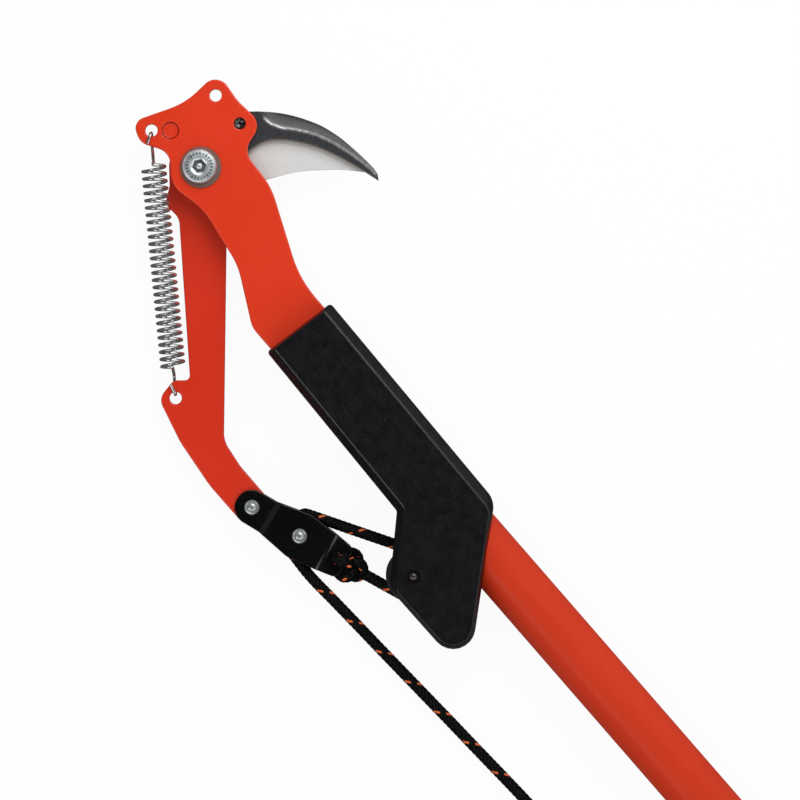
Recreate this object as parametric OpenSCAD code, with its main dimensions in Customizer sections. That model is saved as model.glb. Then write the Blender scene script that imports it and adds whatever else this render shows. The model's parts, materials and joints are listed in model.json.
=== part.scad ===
// Rope-operated tree pruner head on a long pole, lying on its back.
// X runs up the pole from the centre of its butt face, Z points up from the floor.

/* [Pole] */
// Outside diameter of the pole
pole_d = 30; // [26:0.5:34]
// Wall of the pole tube
pole_wall = 1.5; // [1:0.1:2]
// Length of the pole tube
pole_len = 1700; // [900:10:2400]
// Length of the plug inside the butt
plug_len = 30; // [20:1:60]
// Thickness of the plug's end disc
plug_disc = 3; // [2:0.5:6]

/* [Head] */
// Thickness of the orange head plate
plate_t = 4; // [3:0.1:5]
// Thickness of the forged hook
hook_t = 5; // [4:0.1:5.5]
// Thickness of the cutting blade
blade_t = 3.5; // [2.5:0.1:4]
// Thickness of the lever
lever_t = 4; // [3:0.1:4.5]
// Gap between plates that slide on each other
run_gap = 0.1; // [0.05:0.01:0.2]
// Distance from the tube's end to the pivot
head_reach = 110; // [106:1:125]
// Distance of the pivot from the pole's axis
pivot_offset = 18.3; // [16:0.1:20]
// Diameter of the accessory hole in the top lobe
top_hole_d = 6.3; // [5:0.1:8]
// Diameter of the spring holes
spring_hole_d = 6.4; // [5.8:0.1:7]
// Width of the tang inside the tube
tang_w = 24; // [18:0.5:25]
// Length of the tang inside the tube
tang_len = 80; // [70:1:120]

/* [Pivot] */
// Diameter of the pivot bolt
pivot_d = 10; // [8:0.5:11]
// Wall of the bush round the bolt
bush_wall = 2; // [1.5:0.1:3]
// Radial running clearance of pins and bushes
pin_gap = 0.05; // [0.02:0.01:0.1]
// Diameter of the bolt's domed head
bolt_head_d = 17.9; // [16:0.1:19]
// Diameter of the dark ring under the head
ring_d = 21.4; // [20:0.1:23]

/* [Spring] */
// Diameter of the spring wire
wire_d = 2; // [1.6:0.1:2.2]
// Outside diameter of the spring
spring_od = 12.7; // [11:0.1:13.5]
// Number of curls
curls = 28; // [20:1:30]

/* [Sleeve] */
// Depth of the moulded sleeve from front to back
sleeve_depth = 38; // [37:0.5:42]
// Wall of the sleeve
sleeve_wall = 2.4; // [2:0.1:2.8]
// Height of the bevel round each half
bevel_h = 5; // [3:0.1:6]

/* [Rope] */
// Diameter of the rope
rope_d = 6; // [5:0.1:6.4]
// Radius of the rope's middle on both pulleys
rope_turn_r = 12; // [11:0.1:12.5]
// Diameter of the pulley axles
axle_d = 6; // [5:0.1:7]
// Width of the pulleys
pulley_w = 8.6; // [8:0.1:9]
// Number of loops in the coil
coil_loops = 10; // [6:1:12]
// Radius of the coil's innermost loop
coil_r = 19; // [18:1:24]

/* [Bracket] */
// Thickness of each bracket plate
strap_t = 2; // [1.5:0.1:2.2]
// Distance between the bracket's two rivets
strap_pitch = 29; // [28:0.5:31]
// Diameter of the rivets
rivet_d = 6; // [5:0.1:6.5]

/* [Hidden] */
$fn = 64;
// Small overlap that lets one cut pass cleanly through another face
cut = 1;
// How far a stack of outlines goes past its flat ends, and a disc that covers any of them
spare = 0.2;
slab_r = 400;

// Places in the head, measured from the pivot: X up the pole, Y towards the lever
ear_hole = [30.5, 6.6];
stud_at = [24, -0.9];
top_hole = [22.4, -30.5];
hook_pin_at = [3.2, -30.4];
lever_spring_hole = [-82.1, 88.7];
lever_rivet_at = [-151.3, 96];
strap_angle = 198;
sleeve_axle_at = [-head_reach - 123.1, pivot_offset + 37.4];
tang_bolts_x = [-head_reach - 20, -head_reach - 62];
sleeve_screws_at = [[-head_reach - 154, pivot_offset + 38.7], [-head_reach - 102, pivot_offset + 25.7]];
blade_rivets_at = [[-13, 4], [2, -12]];
sleeve_ribs_x = [-head_reach - 5, -head_reach - 42, -head_reach - 84];

// Sizes that belong to one piece each
plug_wall = 2.5;
plug_lip = 0.4;
stud_r = 4.2;
stud_rise = 0.5;
hook_pin_d = 6;
hook_pin_sink = 1.2;
nut_af = 16;
nut_h = 5;
washer_r = 11;
washer_t = 1.2;
bolt_head_h = 3.4;
head_socket_r = 3;
blade_rivet_r = 2;
rivet_head_r = 4;
rivet_head_h = 1.6;
rivet_sink = 0.4;
tang_bolt_d = 5;
tang_nut_af = 8;
tang_nut_h = 4;
tang_bolt_head_r = 4.25;
spacer_r = 4.2;
screw_d = 4;
screw_head_r = 3.6;
screw_head_h = 2.4;
boss_r = 4;
rib_t = 2.4;
rib_reach = 160;
axle_gap = 0.15;
groove_gap = 0.3;
sleeve_flange_r = 14.3;
bracket_flange_r = 12.3;
knot_r = 9.8;
end_knot_r = 5.5;
wire_gap = 0.35;
badge_w = 13.2;
badge_long = 110.5;
badge_turn = -1.1;
badge_line = 0.7;
badge_deep = 0.5;

// The stack of plates through the pivot, from front to back
plate_back = 1;
plate_front = plate_back + plate_t;
hook_back = plate_back - hook_t;
blade_back = hook_back - run_gap - blade_t;
lever_back = blade_back - lever_t;
washer_front = lever_back - run_gap;
washer_back = washer_front - washer_t;
nut_back = washer_back - nut_h;
rope_z = lever_back + lever_t / 2;
floor_z = -sleeve_depth / 2;
rope_r = rope_d / 2;
wire_r = wire_d / 2;
bush_r = pivot_d / 2 + bush_wall;
tube_in_r = pole_d / 2 - pole_wall;
tube_end = -head_reach;
rope_pitch = rope_d + 0.5;
coil_lift = 1;

// Unit vector and rounded outlines
function unit(v) = v / norm(v);
function turn(a) = [cos(a), sin(a)];
function near(list, i) = list[(i + len(list)) % len(list)];
function flat(p) = [p[0], p[1]];

// Points of one rounded corner: p is [x, y, radius], a and b are its neighbours
function corner(a, p, b, steps = 8) =
    let (u = unit(flat(a) - flat(p)), v = unit(flat(b) - flat(p)))
    let (half = acos(max(-0.9999, min(0.9999, u * v))) / 2)
    let (room = 0.49 * min(norm(flat(a) - flat(p)), norm(flat(b) - flat(p))))
    let (reach = min(p[2] / tan(half), room), r = reach * tan(half))
    let (mid = flat(p) + unit(u + v) * r / sin(half))
    let (start = flat(p) + u * reach - mid, sweep = (180 - 2 * half) * sign(u[0] * v[1] - u[1] * v[0]))
    [for (i = [0:steps]) let (t = -sweep * i / steps)
        mid + [start[0] * cos(t) - start[1] * sin(t), start[0] * sin(t) + start[1] * cos(t)]];

function rounded(list, steps = 8) = [
    for (i = [0:len(list) - 1])
        each corner(near(list, i - 1), list[i], near(list, i + 1), steps)
];

// Moves each edge of an anticlockwise outline inwards by its own distance
function inset(list, d) = [
    for (i = [0:len(list) - 1])
        let (before = flat(near(list, i - 1)), here = flat(list[i]), after = flat(near(list, i + 1)))
        let (e = unit(here - before), f = unit(after - here))
        let (m = [-e[1], e[0]], n = [-f[1], f[0]], k = m * n)
        let (q = ((near(d, i - 1) - d[i] * k) * m + (d[i] - near(d, i - 1) * k) * n) / (1 - k * k))
        let (convex = e[0] * f[1] - e[1] * f[0] > 0, r = list[i][2] + (convex ? -1 : 1) * min(d))
        [list[i][0] + q[0], list[i][1] + q[1], max(r, 0.4)]
];

// Faces between rings of equal length, closed by a flat cap at each end
function ring_faces(rings, sides) = concat(
    [[for (i = [0:sides - 1]) i]],
    [for (j = [0:rings - 2], i = [0:sides - 1]) each [
        [j * sides + i, (j + 1) * sides + i, (j + 1) * sides + (i + 1) % sides],
        [j * sides + i, (j + 1) * sides + (i + 1) % sides, j * sides + (i + 1) % sides]]],
    [[for (i = [sides - 1:-1:0]) (rings - 1) * sides + i]]
);

// A stack of outlines with equal point counts, each with its height
module stack(outlines, heights) {
    points = [for (j = [0:len(outlines) - 1]) each [for (p = outlines[j]) [p[0], p[1], heights[j]]]];
    polyhedron(points, ring_faces(len(outlines), len(outlines[0])), convexity = 8);
}

// Cuts a stack flat at two heights, so that each end is one plane face
module flat_ends(low, high) {
    intersection() {
        children();
        disc([0, 0], slab_r, low, high);
    }
}

// A round tube that follows a path
function along(path) = [
    for (i = [0:len(path) - 1])
        unit(path[min(i + 1, len(path) - 1)] - path[max(i - 1, 0)])
];
function squared(v, t) = unit(v - (v * t) * t);
function carried(t, up) = [
    for (i = 0, v = squared(up, t[0]); i < len(t); i = i + 1, v = i < len(t) ? squared(v, t[i]) : v) v
];

module tube(path, r, sides, up = [0, 0, 1]) {
    t = along(path);
    n = carried(t, up);
    points = [
        for (i = [0:len(path) - 1], k = [0:sides - 1])
            path[i] + r * (cos(360 * k / sides) * n[i] - sin(360 * k / sides) * cross(t[i], n[i]))
    ];
    polyhedron(points, ring_faces(len(path), sides), convexity = 8);
}

// Least gap of a tube to itself, between points that are further apart along it than a near stretch
function self_gap(path, r, skip) = min([
    for (i = [0:len(path) - skip - 1], j = [i + skip:len(path) - 1]) norm(path[i] - path[j])
]) - 2 * r;

module at_head() {
    translate([plug_disc + pole_len + head_reach, -pivot_offset, 0]) children();
}

// A flat plate from an outline, between two heights
module plate(outline, low, high) {
    translate([0, 0, low]) linear_extrude(high - low) polygon(rounded(outline));
}

module disc(at, r, low, high) {
    translate([at[0], at[1], low]) cylinder(r = r, h = high - low);
}

module hexagon(at, across, low, high) {
    translate([at[0], at[1], low]) cylinder(r = across / sqrt(3), h = high - low, $fn = 6);
}

// A straight round rod between two points
module rod(a, b, r) {
    d = b - a;
    translate(a) rotate([0, acos(d[2] / norm(d)), atan2(d[1], d[0])]) cylinder(r = r, h = norm(d));
}

// A shallow domed head that stands on height z, downwards when h is negative
module dome(at, r, z, h) {
    ball = (r * r + h * h) / (2 * abs(h));
    translate([at[0], at[1], z]) mirror([0, 0, h < 0 ? 1 : 0]) intersection() {
        translate([0, 0, abs(h) - ball]) sphere(r = ball);
        cylinder(r = r + cut, h = abs(h) + cut);
    }
}

function on_pole(x, y) = [tube_end + x, pivot_offset + y];

// Outlines as corners [x, y, corner radius], anticlockwise seen from the front
tang_low = pivot_offset - tang_w / 2;
tang_high = pivot_offset + tang_w / 2;
shoulder_x = tube_end + 3;
neck_low = -0.8;
neck_high = 34.3;
neck_slot = 30;
plate_outline = [
    [tube_end - tang_len, tang_low, 3], [shoulder_x, tang_low, 0.5], [shoulder_x, neck_low, 1],
    [-78, -1, 60], [-32, -21.3, 40], [-9, -22.5, 9], [-4.2, -39, 8.2], [13, -37.3, 30],
    [31, -39.4, 8], [29.8, -16, 40], [40.5, 11, 7.7], [29.6, 15.2, 7.7], [15.6, 6.6, 9],
    [2.4, 17.8, 14], [-18, 13.2, 30], [-52, 18.8, 40], [-81, neck_high, 14], [shoulder_x, neck_high, 1],
    [shoulder_x, tang_high, 0.5], [tube_end - tang_len, tang_high, 3]
];
hook_outline = [
    [-66.3, -65.4, 0.8], [-62.5, -68.2, 5], [-30, -64.5, 60], [-8.5, -53.4, 30], [16, -24.6, 1], [8.3, -18.2, 4],
    [30, -7, 6], [26, 3.2, 5], [7, 11, 9], [-13.5, 13.5, 13], [-10.8, -20, 30], [-12.3, -34.2, 25],
    [-26.5, -50.6, 50], [-44, -59.6, 60]
];
// How far the forged ridge lies in from each edge of the hook
hook_ridge = [1, 2.2, 5, 5.5, 0.02, 0.02, 0.02, 0.02, 0.02, 0.02, 0.8, 0.9, 0.9, 0.5];
hook_edge_t = 2.6;
blade_outline = [
    [-61.5, -66, 0.8], [-44, -64, 60], [-26, -55, 40], [-10, -38, 25], [-7.5, -22, 20], [14, -14, 14],
    [14, 14, 14], [-18, 14, 12], [-24.5, -16, 30], [-34.6, -37.2, 60], [-49, -55, 60]
];
// Width of the ground bevel along each edge of the blade, on its back
blade_grind = [2.6, 3, 3, 2, 0.02, 0.02, 0.02, 0.02, 0.02, 0.02, 0.02];
blade_edge_t = 0.8;
lever_outline = [
    [15, -15, 15], [15, 9, 10], [3.5, 18.5, 5], [-2.2, 26.4, 3.5], [-12.5, 25.8, 8], [-80, 76.9, 2.5],
    [-74.4, 83.5, 5], [-76.6, 95.6, 7], [-101, 102, 40], [-128, 105.3, 60], [-160.6, 105.2, 9.2],
    [-160.6, 86.7, 9.2], [-131, 86.6, 30], [-115.5, 84.4, 14], [-15, -5.3, 10], [-15, -15, 15]
];
sleeve_outline = [
    for (p = [[14.2, 18.4, 2], [-92, 21.6, 3], [-119.6, 50.8, 6], [-181, 50.1, 11.5],
              [-121, -20.2, 12], [11.6, -23, 2]])
        [tube_end + p[0], pivot_offset + p[1], p[2]]
];
// Width of the bevel along each edge of the sleeve
sleeve_bevel = [4, 3.5, 1.5, 1.5, 5, 1.2];

module pole() {
    color("orangered") translate([plug_disc, 0, 0]) rotate([0, 90, 0]) difference() {
        cylinder(d = pole_d, h = pole_len);
        translate([0, 0, -cut]) cylinder(r = tube_in_r, h = pole_len + 2 * cut);
        for (x = tang_bolts_x)
            translate([0, 0, pole_len + x - tube_end]) rotate([0, 90, 0])
                cylinder(d = tang_bolt_d + 2 * pin_gap, h = pole_d + 2 * cut, center = true);
    }
}

module pole_plug() {
    color("dimgray") rotate([0, 90, 0]) {
        cylinder(d = pole_d - plug_lip, h = plug_disc);
        difference() {
            cylinder(r = tube_in_r - pin_gap, h = plug_disc + plug_len);
            translate([0, 0, plug_disc + plug_wall]) cylinder(r = tube_in_r - plug_wall, h = plug_len + cut);
        }
    }
}

module head_plate() {
    color("orangered") at_head() difference() {
        union() {
            plate(plate_outline, plate_back, plate_front);
            disc(stud_at, stud_r - pin_gap, plate_back - hook_t / 2, plate_front - cut);
        }
        disc([0, 0], pivot_d / 2 + pin_gap, plate_back - cut, plate_front + cut);
        disc(ear_hole, spring_hole_d / 2, plate_back - cut, plate_front + cut);
        disc(top_hole, top_hole_d / 2, plate_back - cut, plate_front + cut);
        disc(hook_pin_at, hook_pin_d / 2 + pin_gap, plate_back - cut, plate_front + cut);
        disc(stud_at, stud_r, plate_front - stud_rise, plate_front + cut);
        for (x = tang_bolts_x)
            disc([x, pivot_offset], tang_bolt_d / 2 + pin_gap, plate_back - cut, plate_front + cut);
    }
}

module hook() {
    rise = hook_t - hook_edge_t;
    base = rounded(hook_outline);
    drawn_in = [for (r = hook_ridge) r * (rise + spare) / rise];
    color("dimgray") at_head() difference() {
        flat_ends(hook_back, plate_back)
            stack([base, base, rounded(inset(hook_outline, drawn_in))],
                  [hook_back - spare, hook_back + hook_edge_t, plate_back + spare]);
        disc([0, 0], pivot_d / 2 + pin_gap, hook_back - cut, plate_back + cut);
        disc(hook_pin_at, hook_pin_d / 2 + pin_gap, hook_back - cut, plate_back + cut);
        disc(stud_at, stud_r, hook_back - cut, plate_back + cut);
    }
}

module hook_pin() {
    color("black") at_head() disc(hook_pin_at, hook_pin_d / 2, hook_back, plate_front - hook_pin_sink);
}

module pivot_ring() {
    color("dimgray") at_head() difference() {
        disc([0, 0], ring_d / 2, plate_front, plate_front + cut);
        disc([0, 0], pivot_d / 2 + pin_gap, plate_front - cut, plate_front + 2 * cut);
    }
}

module pivot_bolt() {
    under = plate_front + cut;
    color("silver") at_head() {
        disc([0, 0], pivot_d / 2, nut_back - 0.5, under + 0.5);
        difference() {
            union() {
                disc([0, 0], bolt_head_d / 2, under, under + bolt_head_h / 2);
                dome([0, 0], bolt_head_d / 2 - 0.4, under + bolt_head_h / 2, bolt_head_h / 2);
            }
            hexagon([0, 0], 2 * head_socket_r, under + bolt_head_h / 2, under + 2 * bolt_head_h);
        }
    }
}

module pivot_bush() {
    color("goldenrod") at_head() difference() {
        disc([0, 0], bush_r, washer_front, hook_back);
        disc([0, 0], pivot_d / 2 + pin_gap, washer_front - cut, hook_back + cut);
    }
}

module pivot_washer() {
    color("silver") at_head() difference() {
        disc([0, 0], washer_r, washer_back, washer_front);
        disc([0, 0], pivot_d / 2 + pin_gap, washer_back - cut, washer_front + cut);
    }
}

module pivot_nut() {
    color("silver") at_head() difference() {
        intersection() {
            hexagon([0, 0], nut_af, nut_back, washer_back);
            dome([0, 0], nut_af * 0.72, washer_back, -2 * nut_h);
        }
        disc([0, 0], pivot_d / 2 + pin_gap, nut_back - cut, washer_back + cut);
    }
}

module blade() {
    rise = blade_t - blade_edge_t;
    base = rounded(blade_outline);
    drawn_in = [for (g = blade_grind) g * (rise + spare) / rise];
    color("gainsboro") at_head() difference() {
        flat_ends(blade_back, blade_back + blade_t)
            stack([rounded(inset(blade_outline, drawn_in)), base, base],
                  [blade_back - spare, blade_back + rise, blade_back + blade_t + spare]);
        disc([0, 0], bush_r + pin_gap, blade_back - cut, hook_back + cut);
        for (p = blade_rivets_at)
            disc(p, blade_rivet_r + pin_gap, blade_back - cut, hook_back + cut);
    }
}

module blade_rivets() {
    color("silver") at_head() for (p = blade_rivets_at) {
        disc(p, blade_rivet_r, lever_back, blade_back + blade_t);
    }
}

module lever() {
    color("orangered") at_head() difference() {
        plate(lever_outline, lever_back, blade_back);
        disc([0, 0], bush_r + pin_gap, lever_back - cut, blade_back + cut);
        disc(lever_spring_hole, spring_hole_d / 2, lever_back - cut, blade_back + cut);
        disc(lever_rivet_at, rivet_d / 2 + pin_gap, lever_back - cut, blade_back + cut);
        for (p = blade_rivets_at)
            disc(p, blade_rivet_r + pin_gap, lever_back - cut, blade_back + cut);
    }
}

// Return spring: hook over the ear, curls, hook through the lever
spring_run = lever_spring_hole - ear_hole;
spring_u = unit(spring_run);
spring_len = norm(spring_run);
hook_in = spring_hole_d / 2 - wire_r - wire_gap;
low_in = spring_len - hook_in;
coil_start = 18;
coil_end = spring_len - 16;
spring_top_z = 2;
spring_low_z = rope_z + 0.35;
curl_r = spring_od / 2 - wire_r;
over_ear = plate_front + wire_r + wire_gap;
under_lever = lever_back - wire_r - wire_gap;
function spring_at(s, z) = [ear_hole[0] + s * spring_u[0], ear_hole[1] + s * spring_u[1], z];
function spring_curl(k) =
    let (f = k / (8 * curls), a = 360 * k / 8, s = coil_start + f * (coil_end - coil_start))
    spring_at(s, spring_top_z + f * (spring_low_z - spring_top_z) + curl_r * cos(a))
        + curl_r * sin(a) * [-spring_u[1], spring_u[0], 0];
spring_path = concat(
    [spring_at(hook_in, plate_back - wire_d), spring_at(hook_in, plate_back),
     spring_at(hook_in, plate_front - wire_r), spring_at(hook_in + 0.5, over_ear - 0.7),
     spring_at(hook_in + 1.8, over_ear), spring_at(7, over_ear + 0.3), spring_at(12, over_ear + 0.3)],
    [for (k = [0:8 * curls]) spring_curl(k)],
    [spring_at(coil_end + 2.6, 1 + spring_low_z + curl_r * 0.3), spring_at(coil_end + 4, under_lever + 3),
     spring_at(spring_len - 9.5, under_lever + 0.3), spring_at(spring_len - 8, under_lever),
     spring_at(low_in - 1.8, under_lever), spring_at(low_in - 0.5, under_lever + 0.7),
     spring_at(low_in, lever_back + wire_r), spring_at(low_in, blade_back),
     spring_at(low_in, blade_back + wire_d)]
);

module return_spring() {
    echo(spring_self_gap = self_gap(spring_path, wire_r, 6));
    color("silver") at_head() tube(spring_path, wire_r, 6, [spring_u[0], spring_u[1], 0]);
}

// One half of the sleeve as a bevelled block, cut flat at the joint and at its face
module sleeve_block() {
    top = sleeve_depth / 2;
    base = rounded(sleeve_outline);
    drawn_in = [for (b = sleeve_bevel) b * (bevel_h + spare) / bevel_h];
    flat_ends(0, top)
        stack([base, base, rounded(inset(sleeve_outline, drawn_in))], [-spare, top - bevel_h, top + spare]);
}

// The hollow of one half, clear of the bevel by the wall
module sleeve_hollow() {
    edges = [for (b = sleeve_bevel) sleeve_wall + b];
    plate(inset(sleeve_outline, edges), -cut, sleeve_depth / 2 - sleeve_wall);
}

// What the shell holds on to inside: ribs round the tube and bosses for screws and the pulley axle
module sleeve_inside() {
    for (x = sleeve_ribs_x)
        translate([x - rib_t / 2, pivot_offset - rib_reach / 2, 0])
            cube([rib_t, rib_reach, sleeve_depth / 2]);
    for (p = sleeve_screws_at)
        disc(p, boss_r, 0, sleeve_depth / 2);
}

module tube_space() {
    translate([tube_end - pole_len, pivot_offset, 0]) rotate([0, 90, 0])
        cylinder(d = pole_d + 2 * pin_gap, h = pole_len + 2 * pin_gap);
}

module sleeve_shell() {
    difference() {
        sleeve_block();
        difference() {
            sleeve_hollow();
            sleeve_inside();
        }
        tube_space();
    }
}

pulley_front = rope_z + pulley_w / 2 + axle_gap;
pulley_rear = rope_z - pulley_w / 2 - axle_gap;
axle_boss_r = 5;
axle_front = sleeve_depth / 2 - 1.6;
axle_rear = floor_z + 2;
screw_tip = sleeve_depth / 2 - 6;
screw_head_z = floor_z + 0.6;

module stadium(wide) {
    straight = badge_long - badge_w;
    for (s = [-1, 1])
        translate([s * straight / 2, 0]) circle(d = wide);
    square([straight, wide], center = true);
}

// Plain stadium line pressed into the front face
module badge_groove() {
    at = on_pole(-54, 0.2);
    translate([at[0], at[1], sleeve_depth / 2 - badge_deep]) rotate([0, 0, badge_turn])
        linear_extrude(badge_deep + cut) difference() {
            stadium(badge_w);
            stadium(badge_w - 2 * badge_line);
        }
}

module sleeve_front() {
    color("black") at_head() difference() {
        union() {
            sleeve_shell();
            disc(sleeve_axle_at, axle_boss_r, pulley_front, sleeve_depth / 2 - sleeve_wall);
        }
        disc(sleeve_axle_at, axle_d / 2 + pin_gap, pulley_front - cut, sleeve_depth / 2 + cut);
        disc(sleeve_axle_at, axle_d / 2 + 1, axle_front, sleeve_depth / 2 + cut);
        for (p = sleeve_screws_at)
            disc(p, screw_d / 2 + pin_gap, -cut, screw_tip + 1);
        translate([shoulder_x, neck_low - 2 * pin_gap, plate_back - pin_gap])
            cube([neck_slot, neck_high - neck_low + 4 * pin_gap, plate_t + 2 * pin_gap]);
        badge_groove();
    }
}

// Space for the sleeve pulley and the way its rope leaves, measured from the axle
rope_way = [[-9, 11], [7, -14], [70, 21], [70, 70], [-9, 70]];
module rope_window() {
    disc(sleeve_axle_at, sleeve_flange_r + 1, pulley_rear, pulley_front);
    translate([sleeve_axle_at[0], sleeve_axle_at[1], pulley_rear]) linear_extrude(pulley_front - pulley_rear)
        polygon(rope_way);
}

module sleeve_back() {
    color("black") at_head() difference() {
        union() {
            mirror([0, 0, 1]) sleeve_shell();
            disc(sleeve_axle_at, axle_boss_r, floor_z + sleeve_wall, pulley_rear);
        }
        rope_window();
        disc(sleeve_axle_at, axle_boss_r + 0.2, pulley_rear, cut);
        disc(sleeve_axle_at, axle_d / 2 + pin_gap, axle_rear, cut);
        for (p = sleeve_screws_at) {
            disc(p, screw_d / 2 + pin_gap, floor_z - cut, cut);
            disc(p, screw_head_r + pin_gap, floor_z - cut, screw_head_z + screw_head_h);
        }
        for (x = tang_bolts_x)
            disc([x, pivot_offset], tang_bolt_head_r + pin_gap, floor_z - cut, -pole_d / 2);
    }
}

module sleeve_screws() {
    color("silver") at_head() for (p = sleeve_screws_at) {
        disc(p, screw_d / 2, screw_head_z, screw_tip);
        difference() {
            disc(p, screw_head_r, screw_head_z, screw_head_z + screw_head_h);
            translate([p[0], p[1], screw_head_z]) cube([2 * screw_head_r + cut, 1, 2], center = true);
        }
    }
}

// A grooved wheel whose groove clears the rope by a small gap
module grooved_wheel(at, flange_r) {
    translate([at[0], at[1], rope_z]) difference() {
        cylinder(r = flange_r, h = pulley_w, center = true);
        cylinder(d = axle_d + 2 * pin_gap, h = pulley_w + 2 * cut, center = true);
        rotate_extrude() translate([rope_turn_r, 0]) {
            circle(r = rope_r + groove_gap);
            translate([0, -rope_r - groove_gap]) square([flange_r, rope_d + 2 * groove_gap]);
        }
    }
}

module sleeve_pulley() {
    color("dimgray") at_head() grooved_wheel(sleeve_axle_at, sleeve_flange_r);
}

module sleeve_pulley_axle() {
    color("gray") at_head() disc(sleeve_axle_at, axle_d / 2, axle_rear, axle_front);
}

// The tang's bolts come from the back, under the sleeve, into nuts on the tang's front
tang_head_h = sleeve_depth / 2 - pole_d / 2 - 1;
module tang_bolts() {
    color("silver") at_head() for (x = tang_bolts_x) {
        disc([x, pivot_offset], tang_bolt_d / 2, -pole_d / 2 - tang_head_h / 2, plate_front + tang_nut_h);
        disc([x, pivot_offset], tang_bolt_head_r, -pole_d / 2 - tang_head_h, -pole_d / 2);
    }
}

module tang_nuts() {
    color("silver") at_head() for (x = tang_bolts_x) difference() {
        hexagon([x, pivot_offset], tang_nut_af, plate_front, plate_front + tang_nut_h);
        disc([x, pivot_offset], tang_bolt_d / 2 + pin_gap, plate_front - cut, plate_front + tang_nut_h + cut);
    }
}

// Spacers fill the tube between its wall and the tang
module tang_spacers() {
    color("gray") at_head() intersection() {
        for (x = tang_bolts_x) difference() {
            disc([x, pivot_offset], spacer_r, -tube_in_r, plate_back);
            disc([x, pivot_offset], tang_bolt_d / 2 + pin_gap, -pole_d, plate_back + cut);
        }
        translate([tube_end - tang_len, pivot_offset, 0]) rotate([0, 90, 0])
            cylinder(r = tube_in_r - pin_gap, h = tang_len);
    }
}

// Pulley bracket, drawn from the lever's rivet along its own length
strap_near = lever_t / 2 + run_gap;
strap_wide = pulley_w / 2 + axle_gap;
strap_far = rope_r + 0.3;
strap_end = strap_pitch + 28;
strap_eye = strap_pitch + 22.2;
strap_eye_r = rope_r + 0.3;
first_bend = [9.5, 12.5];
second_bend = [strap_pitch + 15, strap_pitch + 17.6];
strap_half = [
    [-9, -9, 9], [10, -9.2, 8], [strap_pitch, -12.7, 14], [strap_pitch + 16.3, -10.7, 14], [strap_end, -8.8, 4]
];
strap_outline = concat(
    strap_half,
    [for (i = [4:-1:0]) [strap_half[i][0], -strap_half[i][1], strap_half[i][2]]]
);
strap_reach = 60;
strap_inner = [
    [-20, strap_near], [first_bend[0], strap_near], [first_bend[1], strap_wide], [second_bend[0], strap_wide],
    [second_bend[1], strap_far], [strap_end + 20, strap_far]
];

function in_bracket(x) = lever_rivet_at + x * turn(strap_angle);

module on_bracket() {
    translate([lever_rivet_at[0], lever_rivet_at[1], rope_z]) rotate([0, 0, strap_angle]) children();
}

// The bent sheet: its side view, thickened, within its outline
module strap_sheet(thick, grow) {
    side = concat(strap_inner, [for (i = [5:-1:0]) strap_inner[i] + [0, thick]]);
    intersection() {
        translate([0, 0, -cut]) linear_extrude(strap_reach) polygon(rounded(strap_outline));
        translate([0, 0, -grow]) rotate([90, 0, 0]) linear_extrude(strap_reach, center = true) polygon(side);
    }
}

module strap() {
    difference() {
        strap_sheet(strap_t, 0);
        disc([0, 0], rivet_d / 2 + pin_gap, -cut, strap_reach);
        disc([strap_pitch, 0], axle_d / 2 + pin_gap, -cut, strap_reach);
        disc([strap_eye, 0], strap_eye_r, -cut, strap_reach);
    }
}

module bracket_front() {
    color("black") at_head() on_bracket() strap();
}

module bracket_back() {
    color("black") at_head() on_bracket() mirror([0, 0, 1]) strap();
}

module rivet(at, r, half) {
    disc(at, r, -half - rivet_sink, half + rivet_sink);
    dome(at, rivet_head_r, half, rivet_head_h);
    dome(at, rivet_head_r, -half, -rivet_head_h);
}

module lever_rivet() {
    color("silver") at_head() on_bracket() rivet([0, 0], rivet_d / 2, strap_near + strap_t);
}

module bracket_pulley_rivet() {
    color("silver") at_head() on_bracket() rivet([strap_pitch, 0], axle_d / 2, strap_wide + strap_t);
}

module bracket_pulley() {
    color("dimgray") at_head() grooved_wheel(in_bracket(strap_pitch), bracket_flange_r);
}

// Rope: knot on the bracket, round the sleeve pulley, back round the bracket pulley, then away
bracket_axle_at = in_bracket(strap_pitch);
knot_x = strap_pitch + 31.7;
knot_at = in_bracket(knot_x);
knot_eye = strap_far + strap_t + rope_r;
fall_u = unit(bracket_axle_at - sleeve_axle_at);
fall_angle = atan2(-fall_u[0], fall_u[1]);

// Angle on a rope's turn where a straight rope from a point p touches it
function touch(p, centre, side) =
    let (d = p - centre)
    atan2(d[1], d[0]) + side * acos(rope_turn_r / norm(d));
function on_turn(centre, a) = centre + rope_turn_r * turn(a);
function at_rope(p) = [p[0], p[1], rope_z];

// Route of the free tail along the floor, from the bracket to the coil
tail_route = [
    [-198, 96.7, -9.8], [-216, 95.8, -10.2], [-234, 94.9, -10.8], [-252, 94.1, -11.6], [-270, 93.2, -12.5],
    [-288, 92.3, -13.3], [-306, 91.4, -14], [-324, 90.6, -14.5], [-342, 89.7, -14.8], [-360, 88.9, -15],
    [-378, 88.3, -15], [-390, 88, -15], [-399, 88, -15]
];
coil_start_at = [-405, 88];
coil_z = floor_z + coil_lift + rope_r;
coil_out_r = coil_r + rope_pitch * coil_loops / 2;
coil_mid = coil_start_at + [0, coil_out_r];
coil_rise = rope_d + 0.6;

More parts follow.
